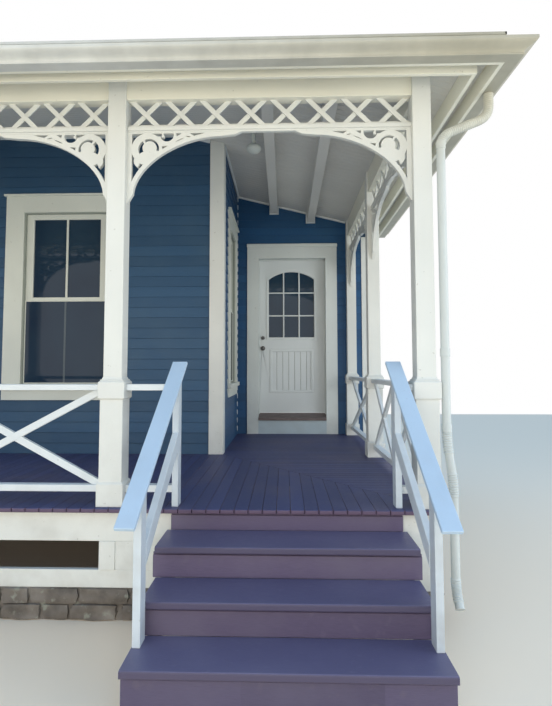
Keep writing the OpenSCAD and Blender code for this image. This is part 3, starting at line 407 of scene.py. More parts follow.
# %% Painted wood
def painted_wood(name, colour, dirt, roughness=0.5, grain=(2, 2, 30), chips=0.30, low_dirt=0.35):
    material, shader = new_finish(name, roughness)
    cloudy = noise(material, 1.7, 3)
    body = ramp(material, cloudy, [(0.25, shade(colour, 0.93)), (0.75, shade(colour, 1.05))])
    fine = noise(material, 55, 6, grain)
    body = mix(material, 0.10, body, ramp(material, fine, [(0.3, 0.45), (0.7, 1.0)]), "MULTIPLY")
    where = add(material, "SeparateXYZ", Vector=place(material))
    near_ground = add(material, "MapRange", {"From Min": 1.5, "From Max": 0.0, "To Max": low_dirt},
                      Value=where.outputs["Z"]).outputs[0]
    smudge = ramp(material, noise(material, 7, 7), [(0.42, 0.0), (0.72, 1.0)])
    grime = mix(material, 1.0, smudge, near_ground, "MULTIPLY")
    body = mix(material, grime, body, dirt)
    chip = ramp(material, noise(material, 38, 2), [(0.735, 0.0), (0.75, chips)])
    body = mix(material, chip, body, shade(dirt, 0.8))
    wire(material, body, shader.inputs["Base Color"])
    wire(material, ramp(material, cloudy, [(0.3, roughness - 0.06), (0.7, roughness + 0.08)]),
         shader.inputs["Roughness"])
    bump(material, shader, fine, 0.0012, 0.5)
    return material


white_paint = painted_wood("white_paint", (0.71, 0.72, 0.69), (0.34, 0.32, 0.28))
white_paint_flat = painted_wood("white_trim_paint", (0.84, 0.82, 0.71), (0.38, 0.35, 0.28),
                                grain=(30, 3, 3))
# Newels and stair rails get the white made darker and bluer: painted blue skylight.
rail_white_with_painted_skylight = painted_wood("stair_rail_white_with_painted_skylight", (0.585, 0.65, 0.71), (0.33, 0.32, 0.31),
                                roughness=0.42, grain=(20, 3, 3), low_dirt=0.5)
# The caps face up, so their white is made strongly blue: painted skylight.
cap_white_with_painted_skylight = painted_wood("stair_cap_white_with_painted_skylight", (0.46, 0.60, 0.76), (0.30, 0.33, 0.37), roughness=0.42,
                         grain=(20, 3, 3))
# A cooler copy of the white, for the balustrade, the ceiling strips and the corner bead: painted blue
# light.
white_with_painted_cool_light = painted_wood("balustrade_white_with_painted_cool_light", (0.72, 0.76, 0.78), (0.33, 0.33, 0.32),
                                grain=(20, 3, 3))
# Door and casing stand in the shade of the recess, so their white is made a little darker and bluer:
# painted shade.
casing_white_with_painted_shade = painted_wood("door_casing_white_with_painted_shade", (0.64, 0.68, 0.67), (0.32, 0.31, 0.28))
window_paint = painted_wood("window_paint", (0.69, 0.71, 0.65), (0.34, 0.33, 0.28))
# The door's white is darker and bluer for the same painted shade.
door_white_with_painted_shade = painted_wood("door_white_with_painted_shade", (0.65, 0.69, 0.70), (0.40, 0.37, 0.32), roughness=0.38,
                          chips=0.1, low_dirt=0.15)
sill_paint = painted_wood("sill_paint", (0.46, 0.55, 0.60), (0.30, 0.30, 0.30), grain=(30, 3, 3))
grey_paint = painted_wood("ceiling_paint", (0.67, 0.66, 0.63), (0.39, 0.38, 0.34), roughness=0.55,
                          grain=(3, 40, 3))
print("painted finishes:", white_paint.name, grey_paint.name)

# %% [markdown]
# No two boards of a wall or a deck have quite the same tone. Each could have its own
# material, but one is enough. The place across the boards, divided by their pitch
# and rounded down, gives each board a number, and White Noise turns it into a tint.

# %% Boards that differ from one to the next
def board_paint(name, colour, dirt, pitch, axis, start, roughness=0.45, grain=(2, 30, 30), worn=None,
                edge=None, specular=0.5):
    """Painted boards: the count across them seeds each board's own tint. An edge colour
    is for the faces that don't look up, which mirror less of the light from above."""
    material, shader = new_finish(name, roughness, specular=specular)
    where = add(material, "SeparateXYZ", Vector=place(material))
    count = where.outputs[axis]
    for operation, value in (("SUBTRACT", start), ("DIVIDE", pitch), ("FLOOR", 0)):
        step = add(material, "Math", {"operation": operation})
        wire(material, count, step.inputs[0])
        step.inputs[1].default_value = value
        count = step.outputs[0]
    tint = add(material, "TexWhiteNoise", {"noise_dimensions": "1D"}, W=count)
    body = ramp(material, tint.outputs["Value"],
                [(0.0, shade(colour, 0.88)), (1.0, shade(colour, 1.12))])
    streaks = noise(material, 14, 7, grain)
    body = mix(material, 0.35, body, ramp(material, streaks, [(0.3, 0.55), (0.7, 1.15)]), "MULTIPLY")
    patches = ramp(material, noise(material, 2.6, 6), [(0.45, 0.0), (0.75, 0.5)])
    body = mix(material, patches, body, dirt)
    if worn:
        scuffs = ramp(material, noise(material, 19, 9, (1.0, 2.2, 1.0)), [(0.60, 0.0), (0.74, 0.5)])
        body = mix(material, scuffs, body, worn)
    if edge:
        way = add(material, "SeparateXYZ", Vector=add(material, "NewGeometry").outputs["Normal"])
        body = mix(material, ramp(material, way.outputs["Z"], [(0.55, 0.0), (0.85, 1.0)]), edge, body)
    wire(material, body, shader.inputs["Base Color"])
    wire(material, ramp(material, streaks, [(0.3, roughness - 0.1), (0.7, roughness + 0.12)]),
         shader.inputs["Roughness"])
    bump(material, shader, streaks, 0.0015, 0.6)
    return material


COURSE = 0.105
navy_paint = board_paint("navy_clapboard_paint", (0.030, 0.084, 0.165), (0.052, 0.105, 0.168), COURSE,
                         "Z", deck_top, roughness=0.48, grain=(1.5, 1.5, 40))
# The walls in the recess get the same navy made bluer: painted shade of the porch roof.
navy_with_painted_shade = board_paint("navy_paint_with_painted_shade", (0.017, 0.080, 0.195), (0.032, 0.098, 0.190),
                                COURSE, "Z", deck_top, roughness=0.48, grain=(1.5, 1.5, 40))
print("siding colours ready:", navy_paint.name, navy_with_painted_shade.name)

# %% [markdown]
# Shingles are felt with coloured grit, so fine noise speckles them and a pattern of large cells
# changes their tone. Gutter and downspout have a white enamel that turns darker and yellower towards
# one end, which a ramp along one axis gives.

# %% Shingles and enamel
def shingle_finish():
    """Asphalt shingles: coloured grit, each tab a little different."""
    material, shader = new_finish("shingle_grit", 0.9)
    tab = add(material, "TexVoronoi", {"Scale": 5.5}, Vector=place(material)).outputs["Color"]
    base = mix(material, 0.22, (0.115, 0.095, 0.095), tab, "OVERLAY")
    grit = noise(material, 260, 3)
    body = mix(material, 0.6, base, ramp(material, grit, [(0.35, 0.45), (0.65, 1.3)]), "MULTIPLY")
    wire(material, body, shader.inputs["Base Color"])
    bump(material, shader, grit, 0.002, 0.9)
    return material


def enamel_finish(name, axis, span, stops):
    """Enamel that turns darker and yellower along one axis, as the photograph shows it."""
    material, shader = new_finish(name, 0.42)
    where = add(material, "SeparateXYZ", Vector=place(material))
    along = add(material, "MapRange", {"From Min": span[0], "From Max": span[1]},
                Value=where.outputs[axis]).outputs[0]
    body = ramp(material, along, stops)
    streaks = ramp(material, noise(material, 9, 6, (1, 1, 0.15)), [(0.3, 0.86), (0.7, 1.0)])
    body = mix(material, 1.0, body, streaks, "MULTIPLY")
    wire(material, body, shader.inputs["Base Color"])
    bump(material, shader, noise(material, 6, 2), 0.002, 0.4)
    return material


# %% [markdown]
# Clear panes would need a furnished room behind them. A nearly black, very smooth
# surface looks the same by day, so it stands in for both. The knob and the lock are
# nickel, darker and duller where it is tarnished.

# %% Glass and metal
def glass_finish():
    """A pane with a dark room behind it: nearly black, with a sharp gloss."""
    material, shader = new_finish("dark_glass", 0.04)
    depth = noise(material, 1.1, 2)
    wire(material, ramp(material, depth, [(0.3, (0.005, 0.017, 0.042)), (0.7, (0.018, 0.042, 0.072))]),
         shader.inputs["Base Color"])
    bump(material, shader, noise(material, 3.5, 1), 0.0006, 0.5)
    return material


def metal_finish(name, colour, roughness):
    material, shader = new_finish(name, roughness, metallic=1.0)
    worn = noise(material, 45, 5)
    wire(material, ramp(material, worn, [(0.35, shade(colour, 0.55)), (0.65, colour)]),
         shader.inputs["Base Color"])
    wire(material, ramp(material, worn, [(0.3, roughness + 0.2), (0.7, roughness)]),
         shader.inputs["Roughness"])
    bump(material, shader, worn, 0.0004, 0.4)
    return material


# %% [markdown]
# Field stone has three tones of brown and grey with lichen on it. Threshold and
# joists are bare wood, streaked along the grain. A wall's core is plaster in the
# room, timber on top and paint on its cut ends, and the way a face looks tells which.

# %% Stone, bare wood and wall cores
def stone_finish():
    material, shader = new_finish("field_stone", 0.92)
    lumps = noise(material, 6, 8)
    # These three tones are darker than the stone itself: painted shade over the footing.
    body = ramp(material, lumps, [(0.25, (0.060, 0.052, 0.045)), (0.5, (0.155, 0.135, 0.118)),
                                  (0.8, (0.27, 0.25, 0.23))])
    lichen = ramp(material, noise(material, 17, 6), [(0.58, 0.0), (0.68, 0.55)])
    wire(material, mix(material, lichen, body, (0.30, 0.32, 0.27)), shader.inputs["Base Color"])
    bump(material, shader, noise(material, 35, 9), 0.006, 0.9)
    return material


def bare_wood_finish():
    material, shader = new_finish("bare_wood", 0.6)
    rings = noise(material, 12, 8, (1.2, 14, 14))
    body = ramp(material, rings, [(0.25, (0.075, 0.058, 0.055)), (0.55, (0.17, 0.135, 0.13)),
                                  (0.8, (0.28, 0.235, 0.23))])
    wire(material, body, shader.inputs["Base Color"])
    bump(material, shader, rings, 0.002, 0.7)
    return material


def wall_core_finish(name, axis, towards):
    """A wall's core: plaster on the room's side, timber on top, paint on the cut ends."""
    material, shader = new_finish(name, 0.85)
    way = add(material, "SeparateXYZ", Vector=add(material, "NewGeometry").outputs["Normal"])
    inside = add(material, "MapRange", {"From Min": 0.4 * towards, "From Max": 0.6 * towards},
                 Value=way.outputs[axis]).outputs[0]
    timber = ramp(material, noise(material, 10, 7, (2, 2, 25)),
                  [(0.3, (0.30, 0.20, 0.12)), (0.7, (0.47, 0.34, 0.22))])
    plaster = ramp(material, noise(material, 3, 8),
                   [(0.3, (0.56, 0.53, 0.47)), (0.7, (0.66, 0.63, 0.57))])
    outside = mix(material, inside, (0.045, 0.065, 0.115), plaster)
    on_top = ramp(material, way.outputs["Z"], [(0.4, 0.0), (0.6, 1.0)])
    wire(material, mix(material, on_top, outside, timber), shader.inputs["Base Color"])
    bump(material, shader, noise(material, 30, 6), 0.002, 0.5)
    return material


# %% Make the other finishes
shingles = shingle_finish()
gutter_enamel = enamel_finish("gutter_enamel", "X", (-2.2, 2.3),
                              [(0.0, (0.72, 0.73, 0.69)), (0.5, (0.61, 0.62, 0.60)),
                               (1.0, (0.44, 0.42, 0.34))])
spout_enamel = enamel_finish("downspout_enamel", "Z", (2.8, 3.3),
                             [(0.0, (0.62, 0.66, 0.65)), (1.0, (0.62, 0.59, 0.48))])
dark_glass = glass_finish()
old_nickel = metal_finish("old_nickel", (0.27, 0.26, 0.25), 0.40)
field_stone = stone_finish()
bare_wood = bare_wood_finish()
wall_core = wall_core_finish("wall_core", "Y", 1)
side_wall_core = wall_core_finish("side_wall_core", "X", -1)
print("finishes made:", len(bpy.data.materials))

# %% [markdown]
# Deck, treads and risers share one maroon. The colour of what looks up holds a painted blue reflection
# of the light from above, with dirty patches and lighter scuffs where feet wore it, and the edges keep
# more of the red. The two fields of the deck run across each other, so each counts its boards along
# its own axis.

# %% Deck finishes
DECK_PITCH = 0.085
# maroon is the colour of faces that look up and holds a painted blue reflection of the light from
# above; board_edge is the redder paint of the other faces.
maroon = (0.060, 0.072, 0.174)
board_edge = (0.120, 0.084, 0.132)
deck_strip_paint, deck_paint = [
    board_paint(name, maroon, (0.13, 0.11, 0.165), DECK_PITCH, axis, start, 0.52, grain,
                (0.125, 0.115, 0.175), board_edge, 0.25)
    for name, axis, start, grain in (("deck_strip_paint", "X", deck_lo.x, (30, 2, 30)),
                                     ("deck_paint", "Y", deck_front, (2, 30, 30)))]
GOING, RISE = 0.276, 0.19
# The tread colours for faces that look up hold a strong painted blue reflection of the light from
# above; the last colour is for the edges.
tread_paint = board_paint("tread_paint", (0.126, 0.119, 0.222), (0.16, 0.152, 0.245), GOING, "Y",
                          deck_front, 0.40, (2, 30, 30), (0.15, 0.145, 0.235), (0.078, 0.066, 0.118))
riser_paint = board_paint("riser_paint", (0.110, 0.086, 0.150), (0.15, 0.13, 0.18), RISE, "Z",
                          0.0, 0.42, (2, 30, 30), (0.135, 0.110, 0.165))
LOW_BOARD = 0.435  # the lowest riser's patches, as a share of its width
low_riser_paint = board_paint("low_riser_paint", (0.090, 0.074, 0.136), (0.115, 0.100, 0.160),
                              LOW_BOARD * STAIR_WIDTH, "X", entry_x - STAIR_WIDTH / 2, 0.42,
                              (2, 30, 30), (0.12, 0.10, 0.145))
print("deck colours ready")

# %% [markdown]
# ## Putting finishes on the solids
# The solids whose shape is right keep it and only get a finish. Their edges are
# razor sharp, which no painted board is, so a Weld modifier joins their loose
# triangles and a narrow Bevel catches a line of light along each edge.

# %% Which finish each solid gets
SOLID_FINISH = (
    (field_stone, "stone_footing"),
    (white_paint, "skirt_boards", "skirt_stiles", "stair_stringers", "front_posts", "side_posts",
     "arch_brackets_front", "arch_brackets_sides", "porch_lamp", "corner_boards"),
    (riser_paint, "stair_risers"), (tread_paint, "stair_treads"),
    (rail_white_with_painted_skylight, "stair_newels", "stair_handrails"),
    (white_paint_flat, "frieze_beams", "lattice_front", "lattice_sides", "fascia", "eave_trim"),
    (white_with_painted_cool_light, "balustrade_rails", "balustrade_stiles", "cross_braces",
     "cross_brace_halves"),
    (grey_paint, "ceiling", "ceiling_beams"), (shingles, "roof"),
    (gutter_enamel, "gutter"), (spout_enamel, "downspout"),
    (wall_core, "front_wall_piers", "front_wall_over_under", "back_wall_piers",
     "back_wall_over_under"),
    (side_wall_core, "side_wall_piers", "side_wall_over_under"),
    (window_paint, "window_casings", "window_sashes"), (dark_glass, "window_glass", "door_glass"),
    (casing_white_with_painted_shade, "door_casing"), (sill_paint, "door_sill"), (bare_wood, "threshold"),
    (door_white_with_painted_shade, "door_leaf"), (old_nickel, "door_fittings", "door_knob", "door_hinges"),
)
print("finishes for solids:", len(SOLID_FINISH))

# %% Finish the solids and soften their edges
SOFT_EDGE = (
    (0.0015, "arch_brackets_front", "arch_brackets_sides"),
    (0.002, "stair_risers", "balustrade_stiles", "cross_braces", "fascia", "eave_trim",
     "window_casings", "door_casing", "door_leaf", "stair_treads"),
    (0.003, "skirt_boards", "skirt_stiles", "stair_stringers", "stair_newels", "front_posts",
     "side_posts", "frieze_beams", "corner_boards", "window_sashes", "door_sill"),
    (0.004, "balustrade_rails", "ceiling_beams", "threshold"),
    (0.005, "stair_handrails"),
)


def soften_solid(solid, width):
    weld = solid.modifiers.new("weld", "WELD")
    weld.merge_threshold = 0.00005
    edge = solid.modifiers.new("soft_edge", "BEVEL")
    edge.width = width
    edge.segments = 2
    edge.limit_method = "ANGLE"
    edge.angle_limit = math.radians(35)


for finish, *names in SOLID_FINISH:
    for name in names:
        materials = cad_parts[name].data.materials
        materials.clear()
        materials.append(finish)
for width, *names in SOFT_EDGE:
    for name in names:
        soften_solid(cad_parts[name], width)
print("finished solids:", sum(len(names) for finish, *names in SOLID_FINISH))

# %% [markdown]
# ## Clapboards
# The house is clad in overlapping boards, thin at the top and thick at the butt, so
# every course throws a thin shadow line. One board is a cube whose top edge is
# pulled back and whose butt is rounded. An array stacks it up the wall, and two
# bisects cut the stack to the rectangle that is wanted beside, under or over an
# opening. All courses share one height grid, so that they meet round the corners.

# %% One field of clapboards
BUTT = 0.014
THIN = 0.004


def clapboards(name, along, heights, face, sideways=False):
    """Courses that fill a rectangle of a wall whose bare face is given."""
    first = math.floor((heights[0] - deck_top) / COURSE)
    count = math.ceil((heights[1] - deck_top) / COURSE) - first
    foot = deck_top + first * COURSE
    head = foot + COURSE
    if sideways:
        board = block(name, (face - 0.001, along[0], foot), (face + BUTT, along[1], head))
        move_points(board, lambda p: p.x > face and p.z > head - 0.001, (THIN - BUTT, 0, 0))
        pick_points(board, lambda p: p.x > face and p.z < foot + 0.001)
    else:
        board = block(name, (along[0], face - BUTT, foot), (along[1], face + 0.001, head))
        move_points(board, lambda p: p.y < face and p.z > head - 0.001, (0, BUTT - THIN, 0))
        pick_points(board, lambda p: p.y < face and p.z < foot + 0.001)
    bpy.ops.mesh.bevel(offset=0.002, segments=2, affect="EDGES")
    closed()
    repeat(board, count, (0, 0, COURSE))
    trim(board, (0, 0, heights[1]), (0, 0, 1))
    trim(board, (0, 0, heights[0]), (0, 0, -1))
    return board


# %% [markdown]
# The front wall has a window, the side wall of the recess another one, and the back
# wall the door. Each wall gets four fields that stop against the casings.

# %% Clad the three walls
window_low, window_high = deck_top + 0.533, deck_top + 2.647
front_window = (entry_x - 2.764, entry_x - 1.516, window_low, window_high)
side_window = (deck_front + 2.500, deck_front + 3.475, window_low, window_high)
CORNER = 0.124


def clad(name, along, heights, opening, face, sideways=False, finish=navy_paint):
    """Clapboards left, right, over and under an opening, as one piece."""
    start, end = along
    foot, head = heights
    left, right, low, high = opening
    fields = [clapboards("field", (start, left), heights, face, sideways),
              clapboards("field", (right, end), heights, face, sideways),
              clapboards("field", (left, right), (high, head), face, sideways)]
    if low > foot + 0.01:
        fields.append(clapboards("field", (left, right), (foot, low), face, sideways))
    wall = dressed(join(name, fields), finish)
    print(name, len(wall.data.polygons), "faces")


clad("clapboards_front", (front_wall_lo.x, side_wall_x - CORNER), (deck_top, wall_top),
     front_window, front_wall_y)
clad("clapboards_side", (front_wall_y + CORNER, back_wall_y), (deck_top, wall_top),
     side_window, side_wall_x, sideways=True, finish=navy_with_painted_shade)
clad("clapboards_back", (side_wall_x, back_wall_hi.x - CORNER), (deck_top, wall_top),
     (door_casing_lo.x, door_casing_hi.x, deck_top, door_casing_hi.z), back_wall_y,
     finish=navy_with_painted_shade)

# %% The wall's corner past the deck, down to the ground, and over the corner board
past_deck = clapboards("past_deck", (deck_hi.x, back_wall_hi.x - CORNER), (0, deck_top), back_wall_y)
eave_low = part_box("eave_trim")[0].z
over_corner = clapboards("over_corner", (back_wall_hi.x - CORNER, back_wall_hi.x),
                         (eave_low, wall_top), back_wall_y)
dressed(join("clapboards_corner", [past_deck, over_corner]), navy_paint)
print("clapboards past the deck and over the corner board")

# %% [markdown]
# ## Deck boards
# The deck is narrow boards painted maroon. In front of the house they run from front
# to back, along the right side they run across, and the two fields meet in a mitre
# from the deck's front corner to the corner of the house. Each field is one board
# with a rounded end, repeated along its width and trimmed.

# %% Lay the deck
GAP = 0.0022
deck_under = deck_lo.z


def board_field(name, lo, hi, step, width, nosed, finish):
    """Boards side by side over a width, from the first one's corners, with rounded ends."""
    board = block(name, lo, hi)
    pick_faces(board, nosed)
    bpy.ops.mesh.bevel(offset=0.009, segments=3, affect="EDGES")
    closed()
    soften(board, 0.0013)
    repeat(board, math.ceil(width / DECK_PITCH), step)
    trim(board, (deck_hi.x, back_wall_y, 0), (1, 0, 0))
    trim(board, (deck_hi.x, back_wall_y, 0), (0, 1, 0))
    board.data.materials.append(finish)
    return board


front_field = board_field("front_field", (deck_lo.x, deck_front, deck_under),
                          (deck_lo.x + DECK_PITCH - GAP, front_wall_y, deck_top),
                          (DECK_PITCH, 0, 0), deck_hi.x - deck_lo.x,
                          lambda c, n: n.y < -0.9, deck_strip_paint)
side_field = board_field("side_field", (side_wall_x, deck_front, deck_under),
                         (deck_hi.x, deck_front + DECK_PITCH - GAP, deck_top),
                         (0, DECK_PITCH, 0), back_wall_y - deck_front,
                         lambda c, n: n.x > 0.9, deck_paint)
mitre = Vector((front_wall_y - deck_front, deck_hi.x - side_wall_x, 0)).normalized()
corner = Vector((deck_hi.x, deck_front, 0))
trim(front_field, corner - mitre * GAP / 2, mitre)
trim(side_field, corner + mitre * GAP / 2, -mitre)
deck_boards = dressed(join("deck_boards", [front_field, side_field]), None)
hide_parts("deck")
print("deck boards:", len(deck_boards.data.polygons), "faces")

# %% [markdown]
# Under the boards run joists on edge, seen in the dark through the open panel of the
# skirt and from below.

# %% Joists
JOIST_PITCH, JOIST_DEEP, JOIST_THICK, JOIST_EDGE = 0.406, 0.14, 0.038, 0.10
joist = soft_block(
    "joists", (deck_lo.x + JOIST_EDGE, deck_front + 0.09, deck_under - JOIST_DEEP),
    (deck_lo.x + JOIST_EDGE + JOIST_THICK, front_wall_y - 0.002, deck_under - HAIR), 0.003)
joists = math.floor((deck_hi.x - deck_lo.x - 2 * JOIST_EDGE) / JOIST_PITCH) + 1
repeat(joist, joists, (JOIST_PITCH, 0, 0))
dressed(joist, bare_wood)
print("joists under the deck:", joists)

# %% [markdown]
# ## Risers
# Each riser is a painted board set back under the nosing. It stops a little short of
# the tread, so a dark line shows under every nosing. The two middle ones are as
# wide as the treads, and so is the lowest, which has patches of another tone.

# %% Build the risers
REVEAL = 0.012


def riser_board(left, right, front, low, high):
    """A board up to the reveal, and a strip behind it that closes the dark line."""
    face = deck_front + front
    board = soft_block("riser", (left, face, low), (right, face + 0.020, high - REVEAL), 0.0025)
    strip = block("strip", (left + HAIR, face + 0.0105, high - 2 * REVEAL),
                  (right - HAIR, face + 0.0195, high - HAIR))
    return [board, strip]


RISER_BACK = 0.029
risers = (riser_board(risers_lo.x, risers_hi.x, RISER_BACK, 0.546, 0.648)
          + riser_board(treads_lo.x, treads_hi.x, RISER_BACK - GOING, 0.373, 0.508)
          + riser_board(treads_lo.x, treads_hi.x, RISER_BACK - 2 * GOING, 0.200, 0.335))
riser_boards = dressed(join("riser_boards", risers), riser_paint)
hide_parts("stair_risers")

lowest = riser_board(treads_lo.x, treads_hi.x, RISER_BACK - 3 * GOING, 0.0, 0.162)
dressed(join("lowest_riser", lowest), low_riser_paint)
print("risers:", len(risers) // 2 + 1)

# %% [markdown]
# ## Stones of the footing
# The porch stands on rough field stones laid in two courses. One stone is a cube,
# subdivided, pushed about by a cloud texture and smoothed. There are four kinds,
# whose copies are stretched and set side by side, with the footing's solid as the
# mortar behind.

# %% One rough stone
clouds = bpy.data.textures.new("stone_lumps", "CLOUDS")
clouds.noise_scale = 0.35
clouds.noise_depth = 3


def rough_stone(name, seed):
    deselect()
    bpy.ops.mesh.primitive_cube_add(size=1, location=(seed * 3.0, 0, 0))
    stone = settle(bpy.context.object, name)
    opened(stone)
    bpy.ops.mesh.subdivide(number_cuts=5)
    closed()
    finish_with(stone, "DISPLACE", texture=clouds, texture_coords="LOCAL", strength=0.30)
    finish_with(stone, "SMOOTH", factor=0.5, iterations=2)
    only(stone)
    bpy.ops.object.origin_set(type="ORIGIN_GEOMETRY", center="BOUNDS")
    stone.location = (0, 0, 0)
    return settle(stone, name)


stone_kinds = [rough_stone("stone_kind", seed) for seed in range(4)]
print("stone kinds:", len(stone_kinds))

# %% Lay two courses round the porch
random.seed(11)
footing_lo, footing_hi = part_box("stone_footing")
footing_top = footing_hi.z
STONE_THICK = 0.17


def stone_course(start, end, line, low, high, sideways):
    """Stones of random width side by side along a line in X, or in Y if sideways."""
    laid = []
    place_at = start
    while place_at < end - 0.08:
        width = min(random.uniform(0.15, 0.34), end - place_at)
        stone = copy_of(random.choice(stone_kinds), "stone")
        size = [width, STONE_THICK, high - low]
        middle = [place_at + width / 2, line, (low + high) / 2]
        if sideways:
            size[:2], middle[:2] = size[1::-1], middle[1::-1]
        stone.scale = [wanted / span for wanted, span in zip(size, stone.dimensions)]
        stone.location = middle
        laid.append(settle(stone, "stone"))
        place_at += width * 0.985
    return laid


stones = []
for low, high in ((0.0, 0.098), (0.094, footing_top + 0.004)):
    for start, end, line, sideways in (
            (footing_lo.x - 0.01, footing_hi.x + 0.01, footing_lo.y + 0.06, False),
            (footing_lo.y + 0.10, front_wall_y, footing_lo.x + 0.06, True),
            (footing_lo.y + 0.10, back_wall_y, footing_hi.x - 0.06, True)):
        stones += stone_course(start, end, line, low, high, sideways)
for kind in stone_kinds:
    bpy.data.objects.remove(kind)
footing_stones = smoothed(dressed(join("footing_stones", stones), field_stone), 50)
print("stones:", len(stones), "faces:", len(footing_stones.data.polygons))

# %% [markdown]
# ## Slopes
# Ceiling and roof follow the same three planes: one falls to the front, one to the
# right, and a steeper and much shorter one to the left. The front and the right meet
# in a hip at 45 degrees in plan. A field of boards or shingles is laid flat first,
# then tilted and turned into its plane, and cut off by upright planes at the hips
# and the walls. For each plane, PLANES holds where it starts, its turn, its slope and
# its cuts.

# %% Laying a flat field into its plane
SLOPE = 0.253
END_SLOPE = 0.853
ceiling_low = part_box("ceiling")[0].z
left_corner = (roof_lo.x, roof_lo.y, 0)
right_corner = (roof_hi.x, roof_lo.y, 0)
front_wall_line = (0, front_wall_y, 0)
PLANES = {
    "front": ((roof_lo.x, roof_lo.y), 0, SLOPE,
              ((right_corner, (1, 1, 0)), (left_corner, (-END_SLOPE, SLOPE, 0)))),
    "right": ((roof_hi.x, roof_lo.y), math.pi / 2, SLOPE,
              ((right_corner, (-1, -1, 0)), ((0, back_wall_y, 0), (0, 1, 0)))),
    "left": ((roof_lo.x, back_wall_y), -math.pi / 2, END_SLOPE,
             ((left_corner, (END_SLOPE, -SLOPE, 0)),)),
}


def lay_on_slope(field, side, height):
    """Tilts a flat field, whose local y points up the slope, sets it on its eave and
    cuts it off at the hips and walls. The right plane passes the recess's corner, so
    it is cut as two pieces."""
    spot, turn, slope, cuts = PLANES[side]
    field.rotation_euler = (math.atan(slope), 0, turn)
    field.location = (*spot, height)
    settle(field, field.name)
    for point, normal in cuts:
        trim(field, point, normal)
    pieces = [field]
    if side == "right":
        behind = copy_of(field, "behind")
        trim(behind, front_wall_line, (0, -1, 0))
        trim(behind, (side_wall_x, 0, 0), (-1, 0, 0))
        pieces.append(behind)
    trim(field, front_wall_line, (0, 1, 0))
    return pieces


porch_length = roof_hi.x - roof_lo.x
porch_depth = back_wall_y - roof_lo.y
print("slopes", [round(math.degrees(math.atan(s)), 1) for s in (SLOPE, END_SLOPE)], "degrees")

# %% [markdown]
# ## Ceiling boards
# The underside is lined with narrow matched boards painted grey. They run from left
# to right everywhere: along the eave in front and up the slope at the sides. The
# small V where two boards meet comes from a bevel on one board before it is repeated.

# %% Line the ceiling
BOARD = 0.072
BOARD_FACE = BOARD - 0.0008
THICK = 0.0142
MAX_RUN = 3.1


def lining_field(size, across, step):
    """Boards of one size, repeated by a step until they reach across."""
    board = soft_block("lining", (0, 0, 0), (*size, THICK), 0.0035)
    return repeat(board, math.ceil(across / BOARD), step)


lining = lay_on_slope(lining_field((porch_length, BOARD_FACE), MAX_RUN, (0, BOARD, 0)),
                      "front", ceiling_low)
for side in ("right", "left"):
    lining += lay_on_slope(lining_field((BOARD_FACE, MAX_RUN), porch_depth, (BOARD, 0, 0)),
                           side, ceiling_low)
ceiling_boards = dressed(join("ceiling_boards", lining), grey_paint)
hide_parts("ceiling")
print("ceiling boards:", len(ceiling_boards.data.polygons), "faces")

# %% [markdown]
# A white strip covers the joint between the ceiling and the walls, and flat pieces
# frame the ends of the two beams. One swept profile could do it, but the joints run
# straight from corner to corner, so each strip is a long block turned into place.

# %% A white strip where the ceiling meets the walls
def ceiling_height(x, y):
    return ceiling_low + min(SLOPE * min(y - roof_lo.y, roof_hi.x - x), END_SLOPE * (x - roof_lo.x))


def strip_between(name, a, b, width, depth):
    """A straight strip from a to b, hanging just under the ceiling."""
    a, b = Vector(a), Vector(b)
    strip = block(name, (0, -width / 2, -depth), ((b - a).length, width / 2, 0))
    strip.rotation_euler = (b - a).to_track_quat("X", "Z").to_euler()
    strip.location = a
    return soften(settle(strip, name), 0.003)


STRIP, DEEP_STRIP, BEAM_TRIM = 0.022, 0.034, 0.015
inner_y = back_wall_y - BUTT - 0.008
inner_x = side_wall_x + BUTT + 0.008
ceiling_end = post_right - 0.12
depth_at_wall = front_wall_y - roof_lo.y
turns = [roof_lo.x + depth_at_wall * SLOPE / END_SLOPE, roof_hi.x - depth_at_wall,
         side_wall_x - CORNER]
line = [(x, front_wall_y - STRIP, ceiling_height(x, front_wall_y)) for x in turns]
side_height = ceiling_height(inner_x, back_wall_y)
strips = [
    strip_between("strip", (side_wall_x, inner_y, ceiling_height(side_wall_x, inner_y)),
                  (ceiling_end, inner_y, ceiling_height(ceiling_end, inner_y)), STRIP, STRIP),
    strip_between("strip", (inner_x, front_wall_y + 0.02, side_height),
                  (inner_x, back_wall_y, side_height), STRIP, STRIP),
    strip_between("strip", line[0], line[1], STRIP, DEEP_STRIP),
    strip_between("strip", line[1], line[2], STRIP, DEEP_STRIP),
]


# %% Flat pieces round the beams' ends
def beam_trim(x, half, low, high):
    """A flat piece round a ceiling beam's end, against the back wall."""
    return soft_block("strip", (x - half, inner_y - STRIP / 2, low),
                      (x + half, inner_y + STRIP / 2, high), 0.002)


for middle, under in ((entry_x - 0.032, deck_top + 2.922), (entry_x + 0.453, deck_top + 2.798)):
    for x in (middle - 0.0545, middle + 0.0545):
        strips.append(beam_trim(x, BEAM_TRIM / 2, under - 0.012, ceiling_height(x, inner_y)))
    strips.append(beam_trim(middle, 0.062, under - 0.014, under))
dressed(join("ceiling_strips", strips), white_with_painted_cool_light)
print("white strips:", len(strips))

# %% [markdown]
# In the recess's inner corner the clapboards end on a square bead. The outer corner
# board is level on top, so a wedge fills what is left under the sloping ceiling.
# Both are blocks, and two bisects give the wedge its slopes.

# %% A bead in the recess's inner corner, hidden by each clapboard's thick butt
bead_top = ceiling_height(side_wall_x, back_wall_y) - 0.001
bead = block("inner_corner_bead", (side_wall_x + HAIR, back_wall_y - 0.010, deck_top + HAIR),
             (side_wall_x + 0.017, back_wall_y - HAIR, bead_top))
dressed(bead, white_with_painted_cool_light)
print("corner bead up to", round(bead_top, 3))

